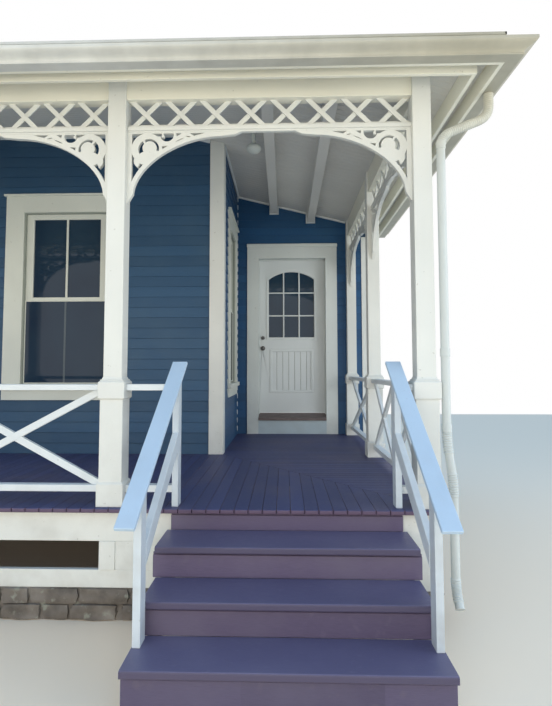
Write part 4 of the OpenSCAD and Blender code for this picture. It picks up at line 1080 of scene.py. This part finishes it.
# %% Fill the wedge between the corner board's level top and the ceiling
CORNER_THICK = 0.022
corner_top = ceiling_height(side_wall_x + CORNER_THICK, front_wall_y - CORNER_THICK)
wedge = block("corner_wedge", (side_wall_x - CORNER, front_wall_y - 0.0215, corner_top - 0.004),
              (side_wall_x + CORNER_THICK, front_wall_y - HAIR, corner_top + 0.08))
for x, slope in ((side_wall_x, (SLOPE, 0, 1)), (side_wall_x - CORNER, (0, -SLOPE, 1))):
    trim(wedge, (x, front_wall_y, ceiling_height(x, front_wall_y) - HAIR), slope)
dressed(wedge, white_paint)
print("wedge over the corner board")

# %% [markdown]
# ## Shingles
# Three-tab asphalt shingles: thin tabs with a slot between them, each course shifted
# by half a tab and lapped over the one below. One tab is a cube, thinner at its top
# edge. It is repeated along the eave, copied for the shifted course, and the pair
# is repeated up the slope.

# %% Shingle the three planes
TAB = 0.305
EXPOSURE = 0.140


def shingle_field(name, length):
    tab = block(name, (-TAB, 0, HAIR), (-0.008, EXPOSURE + 0.004, 0.009))
    move_points(tab, lambda p: p.y > EXPOSURE and p.z > 0.005, (0, 0, -0.0065))
    repeat(tab, math.ceil(length / TAB) + 2, (TAB, 0, 0))
    shifted = copy_of(tab, "shifted", (TAB / 2, EXPOSURE, 0))
    pair = join(name, [tab, shifted])
    repeat(pair, math.ceil(MAX_RUN / (2 * EXPOSURE)), (0, 2 * EXPOSURE, 0))
    trim(pair, (0, 0, 0), (-1, 0, 0))
    trim(pair, (length, 0, 0), (1, 0, 0))
    return pair


roof_top = roof_lo.z + 0.050
courses = []
for side, length in (("front", porch_length), ("right", porch_depth), ("left", porch_depth)):
    courses += lay_on_slope(shingle_field("shingles", length), side, roof_top)
roof_shingles = dressed(join("roof_shingles", courses), shingles)
print("shingles:", len(roof_shingles.data.polygons), "faces")

# %% [markdown]
# The two hips are covered with folded caps, each lapped over the one below. A cap is
# a thin cube, bisected along its middle so that both halves can fall to their sides,
# and repeated up the hip.

# %% Hip caps
CAP_START, CAP_LONG, CAP_HALF, CAP_STEP = 0.175, 0.175, 0.10, EXPOSURE


def hip_caps(name, corner, turn, falls):
    """Caps up a hip at a turn from straight back, folded down to left and right by its falls."""
    cap = block(name, (-CAP_HALF, CAP_START, 0), (CAP_HALF, CAP_START + CAP_LONG, 0.007))
    opened(cap)
    bpy.ops.mesh.bisect(plane_co=(0, 0, 0), plane_no=(1, 0, 0))
    closed()
    move_points(cap, lambda p: p.x < -0.001, (0, 0, -CAP_HALF * falls[0]))
    move_points(cap, lambda p: p.x > 0.001, (0, 0, -CAP_HALF * falls[1]))
    move_points(cap, lambda p: p.y > CAP_START + 0.07, (0, 0, -0.006))
    run = depth_at_wall / math.cos(turn)
    repeat(cap, math.ceil((run - CAP_START) / CAP_STEP), (0, CAP_STEP, 0))
    cap.rotation_euler = (math.atan(SLOPE * math.cos(turn)), 0, turn)
    cap.location = (corner[0], corner[1], roof_top + 0.020)
    return settle(cap, name)


def falls_at(turn, side_slope):
    """Fall per metre square to a hip, down the front plane and down the side plane."""
    return SLOPE * math.sin(abs(turn)), side_slope * math.cos(turn)


left_turn = -math.atan(SLOPE / END_SLOPE)
right_turn = math.pi / 4
front_fall, left_fall = falls_at(left_turn, END_SLOPE)
hips = join("hip_caps", [
    hip_caps("cap", (roof_lo.x, roof_lo.y), left_turn, (left_fall, front_fall)),
    hip_caps("cap", (roof_hi.x, roof_lo.y), right_turn, falls_at(right_turn, SLOPE)),
])
trim(hips, (0, front_wall_y - 0.001, 0), (0, 1, 0))
dressed(hips, shingles)
print("hip caps:", len(hips.data.polygons), "faces")

# %% [markdown]
# A metal drip edge at the foot of the roof throws the rain into the gutter. Only its
# thin front shows below the shingles, so a slim block along each side is enough.

# %% Drip edge
EDGE_OUT = 0.012
edge_z = roof_top - 0.012
left, right, front = fascia_lo.x - EDGE_OUT, fascia_hi.x + EDGE_OUT, fascia_lo.y - EDGE_OUT
drip = [soft_block("drip", (x0, y0, edge_z), (x1, y1, edge_z + 0.018), 0.002)
        for x0, y0, x1, y1 in ((left, front, right, fascia_lo.y),
                               (fascia_hi.x, front, right, back_wall_y),
                               (left, front, fascia_lo.x, front_wall_y))]
dressed(join("drip_edge", drip), gutter_enamel)
print("drip edge on three sides")

# %% [markdown]
# ## Lattice of the frieze
# The lattice is thin laths at 45 degrees in two layers: one set leans one way, the
# other is nailed over it and leans the other way. As solids they are one flat
# panel, so it is replaced by two layers of laths, with the rail and fillet below and
# a batten behind.

# %% The bays
RAIL_LINE_Y = post_front + POST / 2
RAIL_LINE_X = post_right - POST / 2
END_LINE_X = post_left + POST / 2
side_post_y = deck_front + 1.882
last_post_y = back_wall_y - POST
# Each bay: its direction, where it starts, how long it is and the line it stands on.
BAYS = {
    "entry": ("x", entry_x - ENTRY / 2, ENTRY, RAIL_LINE_Y),
    "window": ("x", END_LINE_X + POST / 2, 2.307, RAIL_LINE_Y),
    "side_1": ("y", post_front + POST, side_post_y - post_front - POST, RAIL_LINE_X),
    "side_2": ("y", side_post_y + POST, last_post_y - side_post_y - POST, RAIL_LINE_X),
    "end": ("y", post_front + POST, front_wall_y - POST / 2 - post_front - POST, END_LINE_X),
}


def into_bay(piece, bay):
    """Turns and moves a piece that was drawn from the origin along X into its bay."""
    way, start, _, line = BAYS[bay]
    if way == "x":
        piece.location = (start, line, 0)
    else:
        piece.rotation_euler = (0, 0, math.pi / 2)
        piece.location = (line, start, 0)
    return settle(piece, piece.name)


print("bay lengths", {bay: round(row[2], 3) for bay, row in BAYS.items()})

# %% Laths, rail and fillet of one bay
LATTICE_H = 0.166
LATH_WIDE, LATH_THICK = 0.031, 0.011
lattice_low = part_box("frieze_beams")[0].z - LATTICE_H


def laths(name, length, lean, front):
    """Laths of one layer, leaning to one side, with their front at a given y."""
    count = round(length / 0.230)
    step = length / count
    lath = soft_block(name, (-0.19, front, -LATH_WIDE / 2),
                      (0.19, front + LATH_THICK, LATH_WIDE / 2), 0.0012)
    lath.rotation_euler = (0, lean * math.pi / 4, 0)
    lath.location = (step / 2, 0, lattice_low + LATTICE_H / 2)
    settle(lath, name)
    repeat(lath, count, (step, 0, 0))
    trim(lath, (0, 0, lattice_low), (0, 0, -1))
    trim(lath, (0, 0, lattice_low + LATTICE_H), (0, 0, 1))
    return lath


def lattice_bay(bay):
    length = BAYS[bay][2]
    pieces = [laths("laths", length, 1, -LATH_THICK), laths("laths", length, -1, 0.0)]
    for part, y0, y1, low, high, soft in (("rail", -0.022, 0.022, -0.028, 0, 0.003),
                                          ("fillet", -0.015, 0.015, -0.041, -0.0278, 0.003),
                                          ("batten", 0.012, 0.020, 0.004, 0.024, 0.002)):
        pieces.append(soft_block(part, (0, y0, lattice_low + low), (length, y1, lattice_low + high),
                                 soft))
    return into_bay(join("lattice", pieces), bay)


for name, bays in (("lattice_front", ("entry", "window")),
                   ("lattice_sides", ("side_1", "side_2", "end"))):
    panel = join(name.replace("lattice", "laths"), [lattice_bay(bay) for bay in bays])
    dressed(panel, white_paint)
    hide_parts(name)
    print(panel.name, len(panel.data.polygons), "faces")

# %% [markdown]
# ## Mouldings on the posts
# Over each collar the posts carry a small cove, nailed round the shaft. It is a
# square ring: a cube as wide as the moulding, with its top face inset to the shaft
# and lifted, so that its sides slope back.

# %% Small mouldings round the posts
COVE_HALF, COVE_HIGH = 0.0725, 0.014
collar_top = deck_top + 0.773


def cove(x, y, cut_y):
    """A moulding round the post at a place, cut off at a wall's y if there is one."""
    ring = block("cove", (x - COVE_HALF, y - COVE_HALF, collar_top),
                 (x + COVE_HALF, y + COVE_HALF, collar_top + 0.004))
    pick_faces(ring, lambda c, n: n.z > 0.9)
    bpy.ops.mesh.inset(thickness=(COVE_HALF - POST / 2) * 0.55, depth=0.003)
    bpy.ops.mesh.inset(thickness=(COVE_HALF - POST / 2) * 0.40, depth=COVE_HIGH)
    closed()
    if cut_y:
        trim(ring, (0, cut_y, 0), (0, 1, 0))
    return ring


post_spots = [(END_LINE_X, RAIL_LINE_Y, None), (entry_x - (ENTRY + POST) / 2, RAIL_LINE_Y, None),
              (RAIL_LINE_X, RAIL_LINE_Y, None), (RAIL_LINE_X, side_post_y + POST / 2, None),
              (RAIL_LINE_X, last_post_y + POST / 2, back_wall_y),
              (END_LINE_X, front_wall_y, front_wall_y)]
coves = [cove(*spot) for spot in post_spots]
dressed(join("post_coves", coves), white_paint)
print("coves:", len(coves))

# %% [markdown]
# ## Stair rails
# The caps are boards laid flat on the slope with their ends cut square, so their
# fronts show only as a thin edge. The middle rails stand on edge between the newels
# and are cut off upright against them. Both lean outwards a little on their way down.

# %% A rail that falls with the steps
RAIL_FALL = 0.763
SPLAY_OUT, SPLAY_RUN = 0.031, 0.698
SPLAY = SPLAY_OUT / SPLAY_RUN
NEWEL_THICK = 0.038
UPPER_NEWEL = 0.055
newels_lo, newels_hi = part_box("stair_newels")
stair_x = (newels_lo.x + newels_hi.x) / 2
newel_off = (newels_hi.x - newels_lo.x) / 2 - SPLAY_OUT - NEWEL_THICK / 2


def falling_rail(name, side, back, run, top, width, thick, upright_ends):
    """A rail whose top falls forward from a place behind the deck's edge."""
    ends = []
    for y in (back, back - run):
        out = newel_off + SPLAY * (UPPER_NEWEL - y)
        ends.append((stair_x + side * out, deck_front + y, top + RAIL_FALL * (y - back)))
    lean = math.cos(math.atan(RAIL_FALL))
    if not upright_ends:
        return strip_between(name, *ends, width, thick * lean)
    a, b = (Vector(end) for end in ends)
    longer = (b - a) * 0.2
    rail = strip_between(name, a - longer, b + longer, width, thick * lean)
    trim(rail, a, (0, 1, 0))
    trim(rail, b, (0, -1, 0))
    return rail


# %% Caps and middle rails
rails = []
for side in (-1, 1):
    cap = falling_rail("cap", side, back=0.156, run=0.990, top=1.568, width=0.095, thick=0.026,
                       upright_ends=False)
    cap.data.materials.append(cap_white_with_painted_skylight)
    mid = falling_rail("mid", side, back=UPPER_NEWEL, run=0.609, top=1.128, width=0.038,
                       thick=0.108, upright_ends=True)
    mid.data.materials.append(rail_white_with_painted_skylight)
    rails += [cap, mid]
stair_rails = dressed(join("stair_rails", rails), None)
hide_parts("stair_handrails")
print("stair rails:", len(rails))

# %% [markdown]
# ## Frames for openings
# Windows and door share one kind of part: a rectangular frame. It starts as a plane
# of the outer size. Its face is inset by the frame's width, the inner face is
# deleted, and Solidify and Bevel give it thickness and soft edges.

# %% A rectangular frame
def hollowed(face, width, depth, soft):
    """Opens an upright face into a frame of a width, as deep as its two y say."""
    pick_faces(face, lambda c, n: True)
    bpy.ops.mesh.inset(thickness=width, use_boundary=True)
    bpy.ops.mesh.delete(type="FACE")
    closed()
    finish_with(face, "SOLIDIFY", thickness=depth[1] - depth[0], offset=0)
    return soften(face, soft, 2)


def frame_of(name, across, heights, width, depth, soft=0.002):
    """A frame facing the front: across in X, heights in Z, depth in Y."""
    x0, x1 = across
    z0, z1 = heights
    deselect()
    bpy.ops.mesh.primitive_plane_add(size=1, location=((x0 + x1) / 2, sum(depth) / 2, (z0 + z1) / 2),
                                     rotation=(math.pi / 2, 0, 0))
    ring = bpy.context.object
    ring.scale = (x1 - x0, z1 - z0, 1)
    return hollowed(settle(ring, name), width, depth, soft)


def onto_wall(piece, side):
    """A piece drawn against y = 0 goes to the front wall or the side wall."""
    if side:
        piece.rotation_euler = (0, 0, math.pi / 2)
        piece.location = (side_wall_x, 0, 0)
    else:
        piece.location = (0, front_wall_y, 0)
    return settle(piece, piece.name)


# %% [markdown]
# ## Windows
# Both windows are double hung: two sashes that slide past each other. The upper sash is divided by one
# upright bar. A strip lines the opening in front of the sashes, coloured dark greenish grey as painted
# shade of the recessed jamb. A storm pane in a frame as thin as a finger stands before the lower sash,
# so its glass looks larger than the upper one's. On the inside of the wall a plain casing goes round.

# %% The finishes of the window's small parts
# The strip's dark greenish grey is painted shade of the recessed jamb.
strip_with_painted_shade = painted_wood("window_strip_with_painted_shade", (0.30, 0.33, 0.29), (0.12, 0.12, 0.10), chips=0.15)
# The lower sash's bar is coloured nearly as dark as the glass: painted shade.
bar_with_painted_shade = painted_wood("bar_with_painted_shade", (0.085, 0.11, 0.13), (0.05, 0.06, 0.07),
                                roughness=0.15, chips=0.0)
JAMB, SILL = 0.190, 0.150  # from the casing's outer edge to the opening
SASH_Y = 0.020
STORM_IN, PANE_IN, DIM_BAR_IN = 0.0135, 0.018, 0.024
WALL_T = 0.150
meeting_z = deck_top + 1.560
print("window finishes:", strip_with_painted_shade.name, bar_with_painted_shade.name)


# %% What is added to one window
def window_details(window, side):
    """What is added to a window, given as its casing's left, right, low and high."""
    left, right, low, high = window
    start, end = left + JAMB, right - JAMB
    foot, head = low + SILL, high - JAMB
    middle = (start + end) / 2
    strip = frame_of("strip", (start, end), (foot, head), 0.013, (-0.010, SASH_Y - 0.001))
    upper = soft_block("bar", (middle - 0.011, SASH_Y + 0.004, meeting_z + 0.020),
                       (middle + 0.011, SASH_Y + 0.0180, head - 0.064), 0.004, 2)
    storm = frame_of("storm", (start + STORM_IN, end - STORM_IN), (foot + STORM_IN, meeting_z - 0.013),
                     0.011, (SASH_Y - 0.011, SASH_Y - 0.001))
    pane = block("pane", (start + PANE_IN, SASH_Y - 0.006, foot + PANE_IN),
                 (end - PANE_IN, SASH_Y - 0.003, meeting_z - PANE_IN))
    lower = block("bar", (middle - 0.010, SASH_Y - 0.0075, foot + DIM_BAR_IN),
                  (middle + 0.010, SASH_Y - 0.0062, meeting_z - DIM_BAR_IN))
    inner = frame_of("inner", (left + 0.09, right - 0.09), (low + 0.04, high - 0.09),
                     0.10, (WALL_T, WALL_T + 0.018), 0.003)
    stool = soft_block("stool", (left + 0.06, WALL_T, foot - 0.03),
                       (right - 0.06, WALL_T + 0.045, foot - 0.005), 0.006, 2)
    lock = soft_block("lock", (middle - 0.03, SASH_Y + 0.045, meeting_z + 0.0195),
                      (middle + 0.03, SASH_Y + 0.068, meeting_z + 0.034), 0.003, 2)
    groups = (("strip", [strip]), ("bars", [upper]), ("storm_frame", [storm]),
              ("storm_pane", [pane]), ("dim_bar", [lower]), ("inner", [inner, stool]),
              ("lock", [lock]))
    return {key: onto_wall(join(key, parts), side) for key, parts in groups}


# %% Dress both windows
front_set = window_details(front_window, False)
side_set = window_details(side_window, True)
for key, finish, slot in (
        ("strip", strip_with_painted_shade, "paint_white"), ("bars", window_paint, "paint_white"),
        ("storm_frame", window_paint, "paint_white"), ("storm_pane", dark_glass, "glass"),
        ("dim_bar", bar_with_painted_shade, "paint_white"), ("inner", white_paint, "paint_white"),
        ("lock", old_nickel, "hardware")):
    dressed(join("window_" + key, [front_set[key], side_set[key]]), finish)
print("window details on two windows")

# %% [markdown]
# ## Door
# The upper half of the door is an arched light with nine panes, the lower half a
# panel of narrow boards in a moulded frame. The arched moulding starts as a circle
# of the arch's radius, cut to the light's width and foot by three bisects, then
# inset and opened like the other frames. What is on the leaf rides on the door.

# %% The arched moulding
leaf_lo, leaf_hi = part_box("door_leaf")
light_lo, light_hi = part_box("door_glass")
light_x = (light_lo.x + light_hi.x) / 2
light_half = (light_hi.x - light_lo.x) / 2
ARCH_RISE = 0.107
ARCH_R = (light_half ** 2 + ARCH_RISE ** 2) / (2 * ARCH_RISE)
arch_centre_z = light_hi.z - ARCH_R


def arch_ring(name, grow, width, depth):
    """A frame round the arched light, grown outwards by a step."""
    deselect()
    bpy.ops.mesh.primitive_circle_add(vertices=180, radius=ARCH_R + grow, fill_type="NGON",
                                      location=(light_x, sum(depth) / 2, arch_centre_z),
                                      rotation=(math.pi / 2, 0, 0))
    ring = settle(bpy.context.object, name)
    for point, normal in (((light_x - light_half - grow, 0, 0), (-1, 0, 0)),
                          ((light_x + light_half + grow, 0, 0), (1, 0, 0)),
                          ((0, 0, light_lo.z - grow), (0, 0, -1))):
        trim(ring, point, normal, filled=False)
    return hollowed(ring, width, depth, 0.0035)


outer_lip = arch_ring("lip", 0.022, 0.026, (leaf_lo.y - 0.009, leaf_lo.y + 0.002))
inner_bead = arch_ring("bead", 0.003, 0.012, (leaf_lo.y + HAIR, leaf_lo.y + 0.0185))
print("arch radius", round(ARCH_R, 3))

# %% Bars, boards and the moulded frame
BAR_HALF = 0.009
bar_back = leaf_lo.y + 0.0192
bar_top = arch_centre_z + math.sqrt(ARCH_R ** 2 - (light_half / 3) ** 2)
bars = [soft_block("bar", (x - BAR_HALF, leaf_lo.y + 0.004, light_lo.z),
                   (x + BAR_HALF, bar_back, bar_top), 0.004, 2)
        for x in (light_x - light_half / 3, light_x + light_half / 3)]
bars += [soft_block("bar", (light_lo.x, leaf_lo.y + 0.0045, z - BAR_HALF),
                    (light_hi.x, bar_back, z + BAR_HALF), 0.004, 2)
         for z in (light_lo.z + 0.300, light_lo.z + 0.608)]
PANEL_W, PANEL_Z, PANEL_H, BOARDS = 0.556, 0.279, 0.552, 7
panel_x0 = light_x - PANEL_W / 2
panel_z0 = leaf_lo.z + PANEL_Z
board_w = PANEL_W / BOARDS
narrow = soft_block("panel_board", (panel_x0 + 0.0020, leaf_lo.y + 0.006, panel_z0),
                    (panel_x0 + board_w - 0.0020, leaf_lo.y + 0.0122, panel_z0 + PANEL_H), 0.0035)
repeat(narrow, BOARDS, (board_w, 0, 0))
moulding = frame_of("moulding", (panel_x0 - 0.012, panel_x0 + PANEL_W + 0.012),
                    (panel_z0 - 0.012, panel_z0 + PANEL_H + 0.012), 0.030,
                    (leaf_lo.y - 0.008, leaf_lo.y + 0.0065), 0.004)
# A grey plate behind the panel's boards fills the grooves between them: painted shade, with some dust.
groove_shade_and_dust = painted_wood("groove_painted_shade_and_dust", (0.34, 0.34, 0.32), (0.22, 0.21, 0.19), chips=0.0)
groove = block("panel_grooves", (panel_x0 + 0.002, leaf_lo.y + 0.0112, panel_z0 + 0.002),
               (panel_x0 + PANEL_W - 0.002, leaf_lo.y + 0.0120, panel_z0 + PANEL_H - 0.002))
front_side = join("door_mouldings", [outer_lip, inner_bead, narrow, moulding] + bars)
middle_y = (leaf_lo.y + leaf_hi.y) / 2
for piece, finish in ((front_side, door_white_with_painted_shade), (groove, groove_shade_and_dust)):
    for side in (piece, mirrored(piece, piece.name + "_inside", y=middle_y)):
        dressed(side, finish, "door")
print("door mouldings:", len(front_side.data.polygons), "faces a side")

# %% [markdown]
# Over the knob sits a deadbolt: a rose on the leaf, a cylinder with a keyhole and a
# thumb turn in the room. The round pieces are cylinders with soft edges, and an
# inset sinks the cylinder's face.

# %% Lock cylinder, its rose, the keyhole and the thumb turn
fittings_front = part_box("door_fittings")[0].y
knob_lo, knob_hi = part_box("door_knob")
knob_x = (knob_lo.x + knob_hi.x) / 2
knob_z = (knob_lo.z + knob_hi.z) / 2
bolt_z = knob_z + 0.140
cylinder = rod("cylinder", (knob_x, fittings_front + 0.001, bolt_z),
               (knob_x, fittings_front - 0.005, bolt_z), 0.012, 24)
soften(cylinder, 0.0015, 2)
rose = rod("rose", (knob_x, leaf_lo.y + 0.001, bolt_z),
           (knob_x, fittings_front + 0.002, bolt_z), 0.026, 32)
soften(rose, 0.002, 2)
pick_faces(cylinder, lambda c, n: n.y < -0.9)
bpy.ops.mesh.inset(thickness=0.002, depth=-0.0015)
closed()
# A dark sliver stands for the keyhole's opening: painted shade.
keyhole_painted_shade = metal_finish("keyway_painted_shade", (0.05, 0.045, 0.04), 0.6)
keyway = block("keyway", (knob_x - 0.0008, fittings_front - 0.0042, bolt_z - 0.005),
               (knob_x + 0.0008, fittings_front - 0.0025, bolt_z + 0.005))
thumb = soft_block("thumb", (knob_x - 0.004, leaf_hi.y + 0.0135, bolt_z - 0.016),
                   (knob_x + 0.004, leaf_hi.y + 0.026, bolt_z + 0.016), 0.003, 2)
dressed(join("lock_cylinder", [cylinder, rose, thumb]), old_nickel, "door")
dressed(keyway, keyhole_painted_shade, "door")
print("deadbolt at", round(bolt_z, 3))

# %% [markdown]
# The door shuts against stops, a band caps its casing, and in the room a plain
# casing covers the wall's edge. All are boards with soft edges, so each is a block.

# %% Door stops, head band and the casing inside
DOOR_JAMB = 0.150
INNER_WIDE = 0.11
jamb_left = door_casing_lo.x + DOOR_JAMB
jamb_right = door_casing_hi.x - DOOR_JAMB
stop_back = leaf_lo.y - 0.004
stop_front = stop_back - 0.026
head_z = leaf_hi.z + 0.005
stop_foot = deck_top + 0.24
stops = [soft_block("stop", (x0, stop_front, z0), (x1, stop_back, head_z), 0.002)
         for x0, x1, z0 in ((jamb_left, jamb_left + 0.012, stop_foot),
                            (jamb_right - 0.012, jamb_right, stop_foot),
                            (jamb_left, jamb_right, head_z - 0.012))]
band = soft_block(
    "band", (door_casing_lo.x - 0.006, door_casing_lo.y - 0.010, door_casing_hi.z - 0.040),
    (door_casing_hi.x + 0.006, door_casing_lo.y + 0.012, door_casing_hi.z + 0.006), 0.006, 3)
inside_y = back_wall_y + WALL_T
inside_foot = deck_top + 0.18
inside = [soft_block("inside", (x0, inside_y, z0),
                     (x1, inside_y + 0.018, head_z + INNER_WIDE), 0.002)
          for x0, x1, z0 in ((jamb_left - INNER_WIDE, jamb_left, inside_foot),
                             (jamb_right + 0.048, jamb_right + 0.15, inside_foot),
                             (jamb_left, jamb_right + 0.048, head_z + 0.004))]
dressed(join("door_stops", stops + [band] + inside), casing_white_with_painted_shade)
print("door stops, head band and inner casing")

# %% [markdown]
# ## Downspout
# The downspout leaves the gutter near its corner, slants back to the post, follows
# it down and swerves round the deck's edge. Its bends and the slanting length are
# corrugated. It is drawn as a curve with a round bevel, whose points swell and
# shrink by turns where it is corrugated, and is then turned into a mesh. Sleeves
# cover its joints.

# %% The downspout's path
SPOUT_R = 0.028
gutter_lo, gutter_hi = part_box("gutter")
spout_y = post_front + 0.010
outlet = Vector((fascia_hi.x + 0.037, spout_y, fascia_lo.z))
pipe_x = post_right + 0.025 + 0.005 + SPOUT_R
clear_x = deck_hi.x + 0.005 + SPOUT_R
corners = [outlet, outlet - Vector((0, 0, 0.150)), Vector((pipe_x, spout_y, outlet.z - 0.270)),
           Vector((pipe_x, spout_y, deck_top + 0.404)), Vector((clear_x, spout_y, deck_top + 0.144)),
           Vector((clear_x, spout_y, 0.200)), Vector((clear_x, spout_y - 0.070, 0.110))]
print("downspout's foot at", tuple(round(v, 3) for v in corners[-1]))


# %% Rounded corners
def rounded_path(points, reach, step):
    """Walks the corners with a rounded turn at each; returns places along the way."""
    track = [points[0]]
    for before, corner, after in zip(points, points[1:], points[2:]):
        near = min(reach, (corner - before).length / 2, (after - corner).length / 2)
        a = corner + (before - corner).normalized() * near
        b = corner + (after - corner).normalized() * near
        track += [a.lerp(corner, t).lerp(corner.lerp(b, t), t)
                  for t in (0, 0.14, 0.28, 0.43, 0.57, 0.72, 0.86, 1)]
    track.append(points[-1])
    fine = []
    for a, b in zip(track, track[1:]):
        parts = max(1, round((b - a).length / step))
        fine += [a.lerp(b, i / parts) for i in range(parts)]
    return fine + [track[-1]]


# %% A tube along a path
def tube(name, points, swell, radius):
    """A round pipe along points, each with its own share of the radius."""
    curve = bpy.data.curves.new(name, "CURVE")
    curve.dimensions = "3D"
    curve.bevel_depth = radius
    curve.bevel_resolution = 5
    curve.use_fill_caps = True
    spline = curve.splines.new("POLY")
    spline.points.add(len(points) - 1)
    for point, place_at, size in zip(spline.points, points, swell):
        point.co = (*place_at, 1)
        point.radius = size
    piece = bpy.data.objects.new(name, curve)
    bpy.context.collection.objects.link(piece)
    only(piece)
    bpy.ops.object.convert(target="MESH")
    return smoothed(settle(bpy.context.object, name), 50)


# %% Bend and corrugate the downspout
REACH, PAST_BEND = 0.075, 0.07
track = rounded_path(corners, REACH, 0.0065)
swell = []
for i, spot in enumerate(track):
    in_slant = spot.z > corners[2].z - 0.055
    in_bend = corners[4].z - PAST_BEND < spot.z < corners[3].z + PAST_BEND
    in_foot = spot.z < corners[5].z + PAST_BEND
    near_corner = min((spot - c).length for c in corners[3:6]) < REACH
    ridge = in_slant or (near_corner and (in_bend or in_foot))
    swell.append(1.11 if ridge and i % 2 else 0.96)
spout = tube("downspout_pipe", track, swell, SPOUT_R)
print("downspout:", len(track), "rings")

# %% Joints of the downspout
sleeves = [soften(rod("sleeve", (pipe_x, spout_y, z - 0.025), (pipe_x, spout_y, z + 0.025),
                      SPOUT_R + 0.0022, 28), 0.0012, 2) for z in (2.93, 1.62, 1.16)]
pipe_piece = dressed(join("downspout_run", [spout] + sleeves), spout_enamel)
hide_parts("downspout")
print("downspout dressed:", len(pipe_piece.data.polygons), "faces")

# %% [markdown]
# ## Gutter
# The gutter's front edge is rolled over a bead, a thinner bead runs along the foot
# of its front, and hangers hold it to the fascia, 700 mm apart in front and 620 mm
# apart at the sides.

# %% Beads and hangers
gutter_top = gutter_hi.z
FRONT_LEAN = 0.058


def beads(inset, z, radius):
    """Rods along the gutter's three sides, set in from its box."""
    left, right, front = gutter_lo.x + inset, gutter_hi.x - inset, gutter_lo.y + inset
    return [rod("bead", (left, front, z), (right, front, z), radius, 12),
            rod("bead", (right, front, z), (right, back_wall_y - 0.001, z), radius, 12),
            rod("bead", (left, front, z), (left, front_wall_y - 0.001, z), radius, 12)]


bead = beads(0.0065, gutter_top - 0.0065, 0.0065) + beads(FRONT_LEAN, gutter_lo.z + 0.0045, 0.0045)
hangers = []
for (x0, y0), (x1, y1), count, step in (
        ((gutter_lo.x + 0.35, gutter_lo.y + 0.004), (gutter_lo.x + 0.372, fascia_lo.y - HAIR),
         7, (0.70, 0, 0)),
        ((fascia_hi.x + HAIR, gutter_lo.y + 0.40), (gutter_hi.x - 0.004, gutter_lo.y + 0.422),
         6, (0, 0.62, 0)),
        ((gutter_lo.x + 0.004, gutter_lo.y + 0.40), (fascia_lo.x - HAIR, gutter_lo.y + 0.422),
         3, (0, 0.62, 0))):
    hanger = soft_block("hanger", (x0, y0, gutter_top - 0.004), (x1, y1, gutter_top - 0.001), 0.0008)
    hangers.append(repeat(hanger, count, step))
dressed(join("gutter_bead", [smoothed(piece, 40) for piece in bead] + hangers), gutter_enamel)
print("gutter bead and hangers")

# %% [markdown]
# ## Small things
# The lamp has a turned rose at the ceiling and a collar on its globe. The closed
# part of the skirt beside the steps shows an upright board in front of the panel.

# %% Lamp fittings
lamp_lo, lamp_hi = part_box("porch_lamp")
lamp_x, lamp_y = (lamp_lo.x + lamp_hi.x) / 2, (lamp_lo.y + lamp_hi.y) / 2
lamp_enamel = painted_wood("lamp_enamel", (0.56, 0.60, 0.58), (0.35, 0.36, 0.34), roughness=0.3,
                           chips=0.05)
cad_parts["porch_lamp"].data.materials[0] = lamp_enamel


def turned(name, x, y, z, profile, sides=32):
    """Spins a profile of (radius, height) pairs round an upright axis."""
    deselect()
    bpy.ops.mesh.primitive_circle_add(vertices=sides, radius=profile[0][0], fill_type="NGON",
                                      location=(x, y, z + profile[0][1]))
    piece = settle(bpy.context.object, name)
    pick_faces(piece, lambda c, n: True)
    for (r0, h0), (r1, h1) in zip(profile, profile[1:]):
        bpy.ops.mesh.extrude_region_move(TRANSFORM_OT_translate={"value": (0, 0, h1 - h0)})
        bpy.ops.transform.resize(value=(r1 / r0, r1 / r0, 1), center_override=(x, y, z + h1))
    bpy.ops.mesh.select_all(action="SELECT")
    bpy.ops.mesh.normals_make_consistent(inside=False)
    closed()
    return smoothed(piece, 35)


globe_top = lamp_lo.z + 0.090
rose = turned("rose", lamp_x, lamp_y, lamp_hi.z - 0.020,
              [(0.024, 0), (0.034, 0.003), (0.040, 0.010), (0.041, 0.016), (0.0405, 0.030)])
trim(rose, (lamp_x, lamp_y, ceiling_height(lamp_x, lamp_y) - HAIR), (SLOPE, 0, 1))
collar = turned("collar", lamp_x, lamp_y, globe_top - 0.016,
                [(0.040, 0), (0.041, 0.004), (0.036, 0.012), (0.026, 0.017), (0.0215, 0.020)])
dressed(join("lamp_fittings", [rose, collar]), lamp_enamel)
print("lamp fittings at", round(lamp_x, 3), round(lamp_y, 3))

# %% Upright board on the skirt
skirt_lo, skirt_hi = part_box("skirt_boards")
upright = soft_block("skirt_upright", (entry_x - 1.036, skirt_lo.y - 0.007, footing_top + 0.107),
                     (entry_x - 0.936, skirt_lo.y + 0.002, skirt_hi.z - 0.180), 0.003)
dressed(upright, white_paint)
print("upright board beside the steps")
